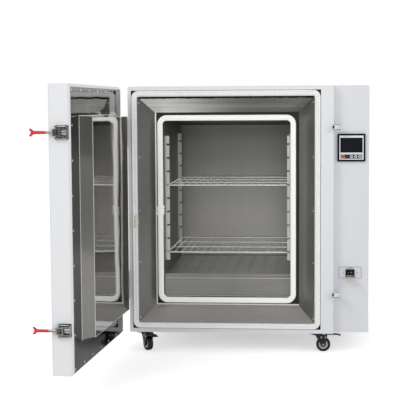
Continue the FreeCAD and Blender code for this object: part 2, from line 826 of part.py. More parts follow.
def door_pan():
    """Painted outer tray of the door, with a flange turned in round the liner."""
    rect = (door_x0, door_x1, door_z0, door_z1)
    y_bevel = y_liner_plane - door_bevel
    y_land = y_liner_plane - case_sheet
    tray = slab(rect, door_y_outer, y_bevel)
    tray = tray.makeFillet(door_corner, upright_edges(tray, door_y_outer))
    tray = tray.fuse(tapered(rect, y_bevel, grown(rect, -door_flange), y_liner_plane))
    hollow = slab(grown(rect, -case_sheet), door_y_outer + case_sheet, y_bevel)
    hollow = hollow.makeFillet(door_corner - case_sheet, upright_edges(hollow, door_y_outer + case_sheet))
    hollow = hollow.fuse(tapered(grown(rect, -case_sheet), y_bevel, grown(rect, -door_land), y_land))
    window = slab(grown(rect, -door_flange - 10), y_land - 1, y_liner_plane + 1)
    return opened(tray.cut([hollow, window]).removeSplitter())


def upright_edges(tray, y):
    """The two upright edges of a tray's far side, at y."""
    return [edge for edge in tray.Edges
            if edge.BoundBox.ZLength > door_height / 2 and edge.BoundBox.YMax < y + 1]


def tapered(rect0, y0, rect1, y1):
    """A block whose outline changes from one rectangle to another."""
    return Part.makeLoft([rect_wire(rect0, y0), rect_wire(rect1, y1)], True, True)


door_land = door_flange + case_sheet
door_liner_rect = (door_x0 + door_flange, door_x1 - door_flange, door_z0 + door_flange, door_z1 - door_flange)
plug_face_rect = (inner_rect[0] + plug_hinge_inset, inner_rect[1] - plug_free_inset,
                  inner_rect[2] + plug_edge_inset, inner_rect[3] - plug_edge_inset)
plug_rect = grown(plug_face_rect, plug_taper)


def door_liner():
    """Stainless sheet over the inside of the door, open behind the plug."""
    sheet = slab(door_liner_rect, y_liner_plane, y_liner_plane + steel_sheet)
    return opened(sheet.cut(slab(grown(plug_rect, -steel_sheet - 6), y_liner_plane - 1, y_liner_plane + 5)))


def door_plug():
    """Stainless box with sloping sides that fills the throat when the door is shut."""
    y0 = y_liner_plane + steel_sheet
    y1 = y_liner_plane + plug_depth
    hollow_face = grown(plug_face_rect, -steel_sheet)
    plug = tapered(plug_rect, y0, plug_face_rect, y1)
    plug = plug.cut(tapered(grown(plug_rect, -steel_sheet), y0, hollow_face, y1 - steel_sheet))
    foot = slab(grown(plug_rect, 8.0), y0, y0 + steel_sheet)
    foot = foot.cut(slab(grown(plug_rect, -steel_sheet), y0 - 1, y0 + 5))
    return opened(plug.fuse(foot).removeSplitter())


def door_insulation():
    """Wool board in the tray and in the plug."""
    rect = (door_x0, door_x1, door_z0, door_z1)
    board = slab(grown(rect, -door_land - 0.3), door_y_outer + case_sheet, y_liner_plane - case_sheet)
    step = slab(grown(plug_face_rect, -steel_sheet - 1.5), y_liner_plane - case_sheet,
                y_liner_plane + plug_depth - steel_sheet)
    return opened(board.fuse(step).removeSplitter())


def knuckle_spans(z0):
    """Three knuckles of one hinge, with a small gap between them."""
    third = hinge_length / 3
    gap = 0.4
    return [(z0 + third * index + gap / 2, z0 + third * (index + 1) - gap / 2) for index in range(3)]


def at_pivot(z):
    return V(pivot.x, pivot.y, z)


def cabinet_hinge_leaf(z0):
    """Leaf on the left side of the cabinet, its two knuckles and the pin."""
    lower, middle, upper = knuckle_spans(z0)
    leaf = box(x_left - 3.0, x_left, y_front + 2.0, y_front + 42.0, z0, z0 + hinge_length)
    pieces = [leaf]
    for span in (lower, upper):
        height = span[1] - span[0]
        web = prism([V(x_left, y_front + 2.0, span[0]), V(x_left, y_front + 6.0, span[0]),
                     V(x_left - 5.0, y_front + 6.0, span[0]), V(pivot.x - 3.0, pivot.y + 7.0, span[0]),
                     V(pivot.x + 7.0, pivot.y, span[0])], along_z * height)
        pieces += [web, rod(knuckle_radius, at_pivot(span[0]), at_pivot(span[1]))]
    pieces.append(rod(hinge_pin_radius, at_pivot(z0 - 3.0), at_pivot(z0 + hinge_length + 3.0)))
    pieces.append(rod(hinge_pin_radius + 2.5, at_pivot(z0 + hinge_length), at_pivot(z0 + hinge_length + 3.0)))
    pieces.append(rod(hinge_pin_radius + 2.5, at_pivot(z0 - 3.0), at_pivot(z0)))
    return joined(pieces)


def cabinet_hinges():
    return Part.makeCompound([cabinet_hinge_leaf(z_base + height) for height in hinge_heights])


def door_hinge_leaf(z0):
    """Leaf on the door's edge with the middle knuckle."""
    span = knuckle_spans(z0)[1]
    height = span[1] - span[0]
    leaf = box(door_x0 - 3.0, door_x0, y_liner_plane - 46.0, y_liner_plane - 2.0, z0, z0 + hinge_length)
    web = box(pivot.x, door_x0, pivot.y - 8.0, pivot.y - 4.0, span[0], span[1])
    knuckle = rod(knuckle_radius, at_pivot(span[0]), at_pivot(span[1]))
    bore = rod(hinge_pin_radius + running_fit, at_pivot(z0 - 1), at_pivot(z0 + hinge_length + 1))
    return opened(joined([leaf, web, knuckle]).cut(bore))


def door_hinges():
    return Part.makeCompound([door_hinge_leaf(z_base + height) for height in hinge_heights])


# Latch clamps. A point on a clamp is given by how far it lies in front of the
# liner plane (ahead) and how far it stands out from the door's edge (out).

def latch_point(ahead, out, z):
    return V(door_x1 + out, y_liner_plane - ahead, z)


def latch_box(ahead0, ahead1, out0, out1, z0, z1):
    return box(door_x1 + out0, door_x1 + out1, y_liner_plane - ahead1, y_liner_plane - ahead0, z0, z1)


def latch_base(z):
    """Bracket with two ears and the lever's pin."""
    ahead, out = lever_pin_at
    end = latch_start + latch_plate_length
    half = latch_plate_height / 2
    ear_top = out + 7.0
    pieces = [latch_box(latch_start, end, 0, 2.0, z - half, z + half)]
    for side in (-1, 1):
        z0, z1 = sorted((z + side * (flange_spread - 1), z + side * (flange_spread + 1)))
        ear = latch_box(latch_start + 8, ahead, 2.0, ear_top, z0, z1)
        foot = latch_box(ahead, ahead + 7, 2.0, out, z0, z1)
        nose = rod(ear_top - out, latch_point(ahead, out, z0), latch_point(ahead, out, z1))
        pieces += [ear, foot, nose]
    reach = flange_spread + 2.2
    pieces.append(latch_pin(lever_pin_at, lever_pin_radius, z, reach))
    return joined(pieces)


def latch_pin(place, radius, z, reach):
    """A pin, or the bore for one, across a clamp."""
    return rod(radius, latch_point(*place, z - reach), latch_point(*place, z + reach))


def latch_bases():
    return Part.makeCompound([opened(latch_base(z_base + height)) for height in latch_heights])


def latch_lever(z):
    """Clevis on the lever pin, the bail's pin and the rod of the handle."""
    ahead, out = lever_pin_at
    bail_ahead, bail_out = bail_pin_at
    pieces = []
    for side in (-1, 1):
        z0, z1 = sorted((z + side * 7.6, z + side * 10.2))
        pieces.append(rod(6.0, latch_point(ahead, out, z0), latch_point(ahead, out, z1)))
        pieces.append(latch_box(ahead, bail_ahead + 7, out - 5.5, out + 5.5, z0, z1))
    pieces.append(latch_box(bail_ahead + 3.5, bail_ahead + 9, out - 5.5, out + 5.5, z - 10.2, z + 10.2))
    reach = bail_spread + bail_wire + 1.5
    pieces.append(latch_pin(bail_pin_at, bail_pin_radius, z, reach))
    pieces.append(rod(lever_rod, latch_point(bail_ahead + 6, out, z), latch_point(grip_end - 14, out, z)))
    bore = latch_pin(lever_pin_at, lever_pin_radius + running_fit, z, 12.0)
    return opened(joined(pieces).cut(bore))


def latch_grip(z):
    """Dipped handle that ends in a two-pronged finger rest."""
    out = lever_pin_at[1]
    sleeve_end = grip_end - 8.0
    sleeve = Part.makeCone(grip_radius * 0.85, grip_radius, sleeve_end - grip_start,
                           latch_point(grip_start, out, z), V(0, -1, 0))
    pieces = [sleeve, Part.makeSphere(grip_radius, latch_point(sleeve_end, out, z))]
    for side in (-1, 1):
        tip = latch_point(grip_end - 2.5, out, z + side * (fork_spread - 2.6))
        pieces.append(rod(3.4, latch_point(sleeve_end - 3, out, z + side * 2.0), tip))
        pieces.append(Part.makeSphere(3.4, tip))
    rod_hole = rod(lever_rod, latch_point(grip_start - 1, out, z), latch_point(grip_end - 14, out, z))
    return opened(joined(pieces).cut(rod_hole))


def latch_bail(z):
    """Wire loop bent to a U, pinned on the lever, which hooks behind the keeper."""
    ahead, out = bail_pin_at
    upper, lower = z + bail_spread, z - bail_spread
    eyes = [latch_point(ahead, out, upper), latch_point(ahead, out, lower)]
    ends = [latch_point(ahead - bail_reach, out + bail_lift, height) for height in (upper, lower)]
    along = (ends[0] - eyes[0]).normalize()
    edges = [Part.makeLine(eyes[0], ends[0] - along * bail_bend)]
    for end, across, near, far in ((ends[0], -1, -along, -along_z), (ends[1], 1, along_z, -along)):
        centre = end - along * bail_bend + along_z * (across * bail_bend)
        middle = centre + (along - along_z * across) * (bail_bend / math.sqrt(2))
        edges.append(Part.Arc(end + near * bail_bend, middle, end + far * bail_bend).toShape())
    edges.insert(2, Part.makeLine(ends[0] - along_z * bail_bend, ends[1] + along_z * bail_bend))
    edges.append(Part.makeLine(ends[1] - along * bail_bend, eyes[1]))
    section = Part.Wire(Part.makeCircle(bail_wire, eyes[0], along))
    loop = Part.Wire(edges).makePipeShell([section], True, False)
    half = along_z * (bail_wire + 0.4)
    pieces = [loop] + [rod(4.2, eye - half, eye + half) for eye in eyes]
    bore = latch_pin(bail_pin_at, bail_pin_radius + running_fit, z, 25.0)
    return opened(joined(pieces).cut(bore))


def door_keeper(z):
    """Hook on the right side of the block that the bail pulls against."""
    bail_far = bail_pin_at[0] - bail_reach
    bail_out = bail_pin_at[1] + bail_lift
    lip_y = y_liner_plane - bail_far - bail_wire - 0.8
    edge = door_x1 + bail_out + bail_wire + 1.6
    foot_end = y_column - 3.0
    outline = [V(x_block, foot_end, 0), V(x_block, y_front + 3, 0), V(x_block + 9, y_front + 3, 0),
               V(edge, lip_y + 3, 0), V(edge, lip_y, 0), V(door_x1 + bail_out - 2, lip_y, 0),
               V(door_x1 + bail_out - 2, lip_y - 3, 0), V(x_block + 16, lip_y - 3, 0),
               V(x_block + 22, lip_y + 3, 0), V(x_block + 22, y_front + 8, 0),
               V(x_block + 14, y_front + 16, 0), V(x_block + 4, y_front + 16, 0), V(x_block + 4, foot_end, 0)]
    half = keeper_height / 2
    return prism([point + V(0, 0, z - half) for point in outline], along_z * keeper_height)


def door_keepers():
    return Part.makeCompound([door_keeper(z_base + height) for height in latch_heights])


# Casters. Each is built about its own kingpin with the wheel trailing to +X,
# and then turned and moved to its corner.

caster_places = {
    "front_left": (left_caster_x, front_axle_y, -57.0),
    "front_right": (right_caster_x, front_axle_y, 0.0),
    "rear_left": (left_caster_x, rear_axle_y, 70.0),
    "rear_right": (right_caster_x, rear_axle_y, 110.0),
}


def placed(shape, corner):
    x, y, turn = caster_places[corner]
    moved = shape.copy()
    moved.rotate(V(0, 0, 0), along_z, turn)
    moved.translate(V(x_left + x, y_front + y, 0))
    return moved


def caster_plate_solid():
    """Mounting plate, bearing cup and kingpin."""
    half = caster_plate / 2
    plate = box(-half, half, -half, half, caster_height - 2.5, caster_height)
    corners = [edge for edge in plate.Edges if edge.BoundBox.ZLength > 1]
    plate = plate.makeFillet(6.0, corners)
    cup = rod(18.0, V(0, 0, caster_height - 7), V(0, 0, caster_height - 2.5))
    pin = rod(kingpin_radius, V(0, 0, caster_height - 16.5), V(0, 0, caster_height - 7))
    head = rod(7.0, V(0, 0, caster_height - 16.5), V(0, 0, caster_height - 14))
    return joined([plate, cup, pin, head])


def caster_plates():
    plates = []
    for x, y, turn in caster_places.values():
        plate = caster_plate_solid()
        plate.translate(V(x_left + x, y_front + y, 0))
        plates.append(plate)
    return Part.makeCompound(plates)


def caster_fork():
    """Crown, two cheeks and the axle of a swivelling caster."""
    crown_top = caster_height - 7.5
    crown = rod(19.0, V(0, 0, crown_top - 5.5), V(0, 0, crown_top))
    bridge = box(0, pedal_pin_x - 5.0, -13.5, 13.5, crown_top - 3.0, crown_top)
    inside = wheel_width / 2 + 1.0
    cheeks = []
    for side in (-1, 1):
        y0, y1 = sorted((side * inside, side * (inside + 3.0)))
        outline = [V(-12, y0, crown_top), V(34, y0, crown_top), V(34, y0, crown_top - 8),
                   V(caster_trail + 8, y0, wheel_radius), V(caster_trail, y0, wheel_radius - 8),
                   V(caster_trail - 8, y0, wheel_radius)]
        cheeks.append(prism(outline, V(0, y1 - y0, 0)))
        cheeks.append(rod(8.0, V(caster_trail, y0, wheel_radius), V(caster_trail, y1, wheel_radius)))
    hub = V(caster_trail, 0, wheel_radius)
    axle = rod(axle_radius, hub - along_y * (inside + 4.5), hub + along_y * (inside + 4.5))
    caps = []
    for side in (-1, 1):
        start, end = hub + along_y * (side * (inside + 3.0)), hub + along_y * (side * (inside + 5.5))
        caps.append(rod(6.5, start, end))
    fork = joined([crown, bridge] + cheeks + [axle] + caps)
    well = rod(8.0, V(0, 0, crown_top - 20), V(0, 0, crown_top - 5.5))
    hole = rod(kingpin_radius + running_fit, V(0, 0, crown_top - 10), V(0, 0, crown_top + 1))
    pedal_hole = rod(2.0 + running_fit, V(pedal_pin_x, -16, pedal_pin_z), V(pedal_pin_x, 16, pedal_pin_z))
    return fork.cut([well, hole, pedal_hole])


pedal_pin_x = 29.0
pedal_pin_z = caster_height - 13.0


def caster_wheel():
    """Round-shouldered tyre on a hub that stands out at both sides."""
    half = wheel_width / 2
    centre = V(caster_trail, 0, wheel_radius)
    tyre = rod(wheel_radius, centre - along_y * half, centre + along_y * half)
    tyre = tyre.makeFillet(3.5, [edge for edge in tyre.Edges if edge.Curve.TypeId == "Part::GeomCircle"])
    for side in (-1, 1):
        start = centre + along_y * (side * (half - 2.5))
        groove = rod(17.0, start, centre + along_y * (side * (half + 1)))
        tyre = tyre.cut(groove.cut(rod(8.0, start, centre + along_y * (side * (half + 1)))))
    bore = rod(axle_radius + running_fit, centre - along_y * 20, centre + along_y * 20)
    return tyre.cut(bore)


def caster_pedal():
    """Brake pedal pinned between the cheeks, its tread behind the wheel."""
    pin = V(pedal_pin_x, 0, pedal_pin_z)
    inside = wheel_width / 2 + 1.0 - 0.4
    pinned = rod(2.0, pin - along_y * 13.2, pin + along_y * 13.2)
    hub = rod(3.6, pin - along_y * inside, pin + along_y * inside)
    outline = [V(pin.x, -inside, pin.z + 3.2), V(pin.x, -inside, pin.z + 0.6),
               V(pedal_reach - 12, -inside, pin.z + 0.6),
               V(pedal_reach, -inside, pin.z - 3.0), V(pedal_reach + 1, -inside, pin.z - 0.6),
               V(pedal_reach - 11, -inside, pin.z + 3.2)]
    tread = prism(outline, V(0, 2 * inside, 0))
    shoe = box(pin.x - 2, pin.x + 2, -inside + 2, inside - 2, pin.z - 8.0, pin.z)
    return joined([pinned, hub, tread, shoe])


# Build every sub-part

os.makedirs("parts", exist_ok=True)

save("outer_case", outer_case())
save("base_pan", base_pan())
save("rear_panel", rear_panel())
save("front_fascia", front_fascia())
save("gasket_channels", gasket_channels())
save("throat_frame", throat_frame())
save("outer_gasket", outer_gasket())
save("inner_gasket", inner_gasket())
save("chamber_liner", chamber_liner())
save("back_duct_panel", back_duct_panel())
save("slotted_floor", slotted_floor())
save("shelf_standards", shelf_standards())
save("insulation", insulation())
save("heater_elements", heater_elements())
save("temperature_probe", temperature_probe())
save("fan_impeller", fan_impeller())
save("fan_motor", fan_motor())
save("motor_cover", motor_cover())
save("exhaust_pipe", exhaust_pipe())
save("exhaust_damper", exhaust_damper())
save("wire_shelf_upper", wire_shelf(upper_shelf_notch))
save("wire_shelf_lower", wire_shelf(lower_shelf_notch))
save("control_housing", control_housing())
save("control_front", control_front())
save("cable_gland", cable_gland())
save("controller_case", controller_case())
save("controller_screen", controller_screen())
for index in range(5):
    save("controller_key_%d" % (index + 1), controller_key(index))
save("power_switch_plate", power_switch_plate())
save("power_rocker", power_rocker())
save("switch_cover", switch_cover())
save("door_pan", door_pan())
save("door_liner", door_liner())
save("door_plug", door_plug())
save("door_insulation", door_insulation())
save("cabinet_hinges", cabinet_hinges())
save("door_hinges", door_hinges())
save("latch_bases", latch_bases())
for name, height in zip(("lower", "upper"), latch_heights):
    save("latch_lever_" + name, latch_lever(z_base + height))
    save("latch_grip_" + name, latch_grip(z_base + height))
    save("latch_bail_" + name, latch_bail(z_base + height))
save("door_keepers", door_keepers())
save("caster_plates", caster_plates())
for corner in caster_places:
    save("caster_fork_" + corner, placed(caster_fork(), corner))
    save("caster_wheel_" + corner, placed(caster_wheel(), corner))
for corner in ("front_left", "front_right"):
    save("brake_pedal_" + corner, placed(caster_pedal(), corner))
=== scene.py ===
import bpy
import json
import math
import random
from mathutils import Matrix, Vector


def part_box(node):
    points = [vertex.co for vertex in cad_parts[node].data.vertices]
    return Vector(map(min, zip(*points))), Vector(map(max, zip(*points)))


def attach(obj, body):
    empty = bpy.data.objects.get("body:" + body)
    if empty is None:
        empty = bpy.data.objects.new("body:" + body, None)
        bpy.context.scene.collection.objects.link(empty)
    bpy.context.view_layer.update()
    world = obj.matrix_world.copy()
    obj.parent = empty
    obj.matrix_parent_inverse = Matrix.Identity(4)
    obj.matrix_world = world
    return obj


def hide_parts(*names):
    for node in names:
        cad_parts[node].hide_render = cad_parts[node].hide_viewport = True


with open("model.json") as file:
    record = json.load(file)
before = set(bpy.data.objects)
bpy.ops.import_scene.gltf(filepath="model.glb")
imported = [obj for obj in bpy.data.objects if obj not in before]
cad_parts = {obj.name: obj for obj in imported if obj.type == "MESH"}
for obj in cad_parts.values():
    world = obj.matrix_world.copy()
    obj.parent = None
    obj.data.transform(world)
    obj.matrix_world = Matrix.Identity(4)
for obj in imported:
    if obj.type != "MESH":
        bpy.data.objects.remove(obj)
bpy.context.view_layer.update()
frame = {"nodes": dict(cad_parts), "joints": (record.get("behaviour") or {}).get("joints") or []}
nodes = frame["nodes"]
print("frame loaded,", len(nodes), "nodes")


# Shader graphs

class Wire:
    def __init__(self, graph, socket):
        self.graph = graph
        self.socket = socket

    def __add__(self, other):
        return self.graph.maths("ADD", self, other)

    def __sub__(self, other):
        return self.graph.maths("SUBTRACT", self, other)

    def __mul__(self, other):
        return self.graph.maths("MULTIPLY", self, other)

    def __truediv__(self, other):
        return self.graph.maths("DIVIDE", self, other)

    def __gt__(self, other):
        return self.graph.maths("GREATER_THAN", self, other)

    def __rsub__(self, other):
        return self.graph.maths("SUBTRACT", other, self)

    __radd__ = __add__
    __rmul__ = __mul__


class Graph:
    def __init__(self, tree):
        self.tree = tree

    def node(self, kind, settings=None, sockets=None, out=0):
        made = self.tree.nodes.new("ShaderNode" + kind)
        for key, value in (settings or {}).items():
            if key == "stops":
                self.fillRamp(made.color_ramp, value)
            else:
                setattr(made, key, value)
        for key, value in (sockets or {}).items():
            self.feed(made.inputs[key], value)
        return Wire(self, made.outputs[out])

    def feed(self, socket, value):
        if isinstance(value, Wire):
            self.tree.links.new(value.socket, socket)
        else:
            socket.default_value = value

    def fillRamp(self, ramp, stops):
        while len(ramp.elements) < len(stops):
            ramp.elements.new(1.0)
        for element, (position, level) in zip(ramp.elements, stops):
            element.position = position
            element.color = (level, level, level, 1)

    def maths(self, operation, first, second):
        return self.node("Math", {"operation": operation}, {0: first, 1: second})

    def part(self, vector, axis):
        return self.node("SeparateXYZ", None, {0: vector}, axis)

    def scaled(self, vector, scale):
        return self.node("VectorMath", {"operation": "MULTIPLY"}, {0: vector, 1: scale})

    def noise(self, vector, scale, detail=2.0):
        return self.node("TexNoise", None, {"Vector": vector, "Scale": scale, "Detail": detail}, "Fac")

    def mixColour(self, factor, first, second):
        return self.node("Mix", {"data_type": "RGBA"}, {0: factor, 6: first, 7: second}, 2)

    def bump(self, height, distance, strength=1.0):
        return self.node("Bump", None, {"Height": height, "Distance": distance, "Strength": strength})


def tint(hexCode):
    levels = [int(hexCode[start:start + 2], 16) / 255 for start in (0, 2, 4)]
    linear = [level / 12.92 if level < 0.04 else ((level + 0.055) / 1.055) ** 2.4 for level in levels]
    return (*linear, 1.0)


def newFinish(name, look):
    material = bpy.data.materials.new(name)
    material.use_nodes = True
    shader = material.node_tree.nodes["Principled BSDF"]
    shader.inputs["Base Color"].default_value = tint(look["colour"])
    shader.inputs["Roughness"].default_value = look["roughness"]
    shader.inputs["Metallic"].default_value = look.get("metallic", 0.0)
    shader.inputs["Coat Weight"].default_value = look.get("coat", 0.0)
    shader.inputs["Specular IOR Level"].default_value = look.get("specular", 0.5)
    # Painted light: the glow is an emission that brightens a finish on parts that are no lamps, such as the
    # shelf wires, lip steel, seal core, seal fibres, rope and orange key.
    if "glow" in look:
        shader.inputs["Emission Color"].default_value = tint(look["colour"])
        shader.inputs["Emission Strength"].default_value = look["glow"]
    return material, Graph(material.node_tree), shader


def powderCoat(name, look):
    material, graph, shader = newFinish(name, look)
    place = graph.node("TexCoord", out="Object")
    peel = graph.noise(place, look.get("peel", 420.0))
    handling = graph.noise(place, 3.1, 3.0)
    shade = graph.mixColour(handling, tint(look["colour"]), tint(look["second"]))
    graph.feed(shader.inputs["Base Color"], shade)
    graph.feed(shader.inputs["Roughness"], look["roughness"] - 0.05 + handling * 0.1)
    graph.feed(shader.inputs["Normal"], graph.bump(peel, look.get("peelDepth", 0.00003)))
    return material


steelDefaults = {"streak": 0.1, "grainDepth": 0.00002, "waveDepth": 0.0, "clouds": 4.0, "wavePitch": 3.0}


def sheetSteel(name, look):
    look = {**steelDefaults, **look}
    material, graph, shader = newFinish(name, look)
    place = graph.node("TexCoord", out="Object")
    grain = graph.noise(graph.scaled(place, look["grain"]), 1.0, 3.0)
    cloud = graph.noise(place, look["clouds"], 2.0)
    shade = graph.mixColour(cloud, tint(look["colour"]), tint(look["second"]))
    graph.feed(shader.inputs["Base Color"], shade)
    roughness = look["roughness"] + (grain - 0.5) * look["streak"] + (cloud - 0.5) * 0.05
    graph.feed(shader.inputs["Roughness"], roughness)
    waves = graph.noise(place, look["wavePitch"], 1.0)
    height = grain * look["grainDepth"] + waves * look["waveDepth"]
    graph.feed(shader.inputs["Normal"], graph.bump(height, 1.0))
    return material


def panelSteel(name, look):
    look = {**steelDefaults, "clouds": 5.0, "cloudStretch": (1, 1, 1), **look}
    material, graph, shader = newFinish(name, look)
    place = graph.node("TexCoord", out="Object")
    way = graph.node("TexCoord", out="Normal")
    grain = graph.noise(graph.scaled(place, look["grain"]), 1.0, 3.0)
    cloud = graph.noise(graph.scaled(place, look["cloudStretch"]), look["clouds"], 2.0)
    level = look["level"] + (cloud - 0.5) * look["cloudDepth"] + (grain - 0.5) * look["streakDepth"]
    # Painted light and shade: the facing terms raise or lower the level by the way a face points, so faces
    # of one steel that catch more or less light get lighter or darker colours.
    for axis, (low, high) in enumerate(look["facing"]):
        toward = graph.part(way, axis)
        ahead, behind = graph.maths("MAXIMUM", toward, 0.0), graph.maths("MINIMUM", toward, 0.0)
        level = level + ahead * high - behind * low
    # Painted reflection and shade: on faces that point the given way, the level follows a ramp up the
    # height. On the door liner it paints bright and dark reflection bands, and on the chamber's back wall a
    # darker upper part.
    if "ramp" in look:
        ramp = look["ramp"]
        axis, sign = ramp["face"]
        share = graph.node("MapRange", None, {0: graph.part(place, 2), 1: ramp["from"], 2: ramp["to"]})
        factor = graph.node("ValToRGB", {"stops": ramp["stops"]}, {0: share})
        toward = graph.maths("MAXIMUM", graph.part(way, axis) * sign, 0.0)
        level = level * (1.0 + toward * (factor - 1.0))
    # Painted shade: below the given height, down by the slotted floor, the chamber steel is darkened almost
    # to black.
    if "sump" in look:
        level = level * ((graph.part(place, 2) > look["sump"]) * 0.94 + 0.06)
    # Painted highlight: towards one end in x, on faces that point down, a streaky band is lightened and made
    # less metallic. It paints the sheen on the throat's brushed top panel.
    if "sheen" in look:
        sheen = look["sheen"]
        along = graph.node("MapRange", {"interpolation_type": "SMOOTHSTEP"},
                           {0: graph.part(place, 0), 1: sheen["from"], 2: sheen["to"], 3: 1.0, 4: 0.0})
        down = graph.maths("MAXIMUM", graph.part(way, 2) * -1.4, 0.0)
        streaks = sheen["depth"] + (grain - 0.5) * sheen["streak"]
        paintedShine = graph.maths("MINIMUM", along * down * streaks, 1.0)
        level = level + paintedShine * sheen["level"]
        graph.feed(shader.inputs["Metallic"], look["metallic"] - paintedShine * sheen["dull"])
    edge = look.get("specularTint", 1.0)
    shader.inputs["Specular Tint"].default_value = (edge, edge, edge, 1.0)
    warmth = look.get("warmth", 0.95)
    warm = graph.node("CombineColor", None, {0: level, 1: level * 0.985, 2: level * warmth})
    graph.feed(shader.inputs["Base Color"], warm)
    graph.feed(shader.inputs["Roughness"], look["roughness"] + (grain - 0.5) * look["streak"])
    waves = graph.noise(place, look["wavePitch"], 1.0)
    height = grain * look["grainDepth"] + waves * look["waveDepth"]
    graph.feed(shader.inputs["Normal"], graph.bump(height, 1.0))
    return material


def mouldedPlastic(name, look):
    material, graph, shader = newFinish(name, look)
    place = graph.node("TexCoord", out="Object")
    grain = graph.noise(place, look.get("grain", 900.0), 3.0)
    wear = graph.noise(place, 60.0, 3.0)
    shade = graph.mixColour(wear, tint(look["colour"]), tint(look["second"]))
    graph.feed(shader.inputs["Base Color"], shade)
    graph.feed(shader.inputs["Roughness"], look["roughness"] + (wear - 0.5) * 0.12)
    graph.feed(shader.inputs["Normal"], graph.bump(grain, look.get("grainDepth", 0.00004)))
    return material


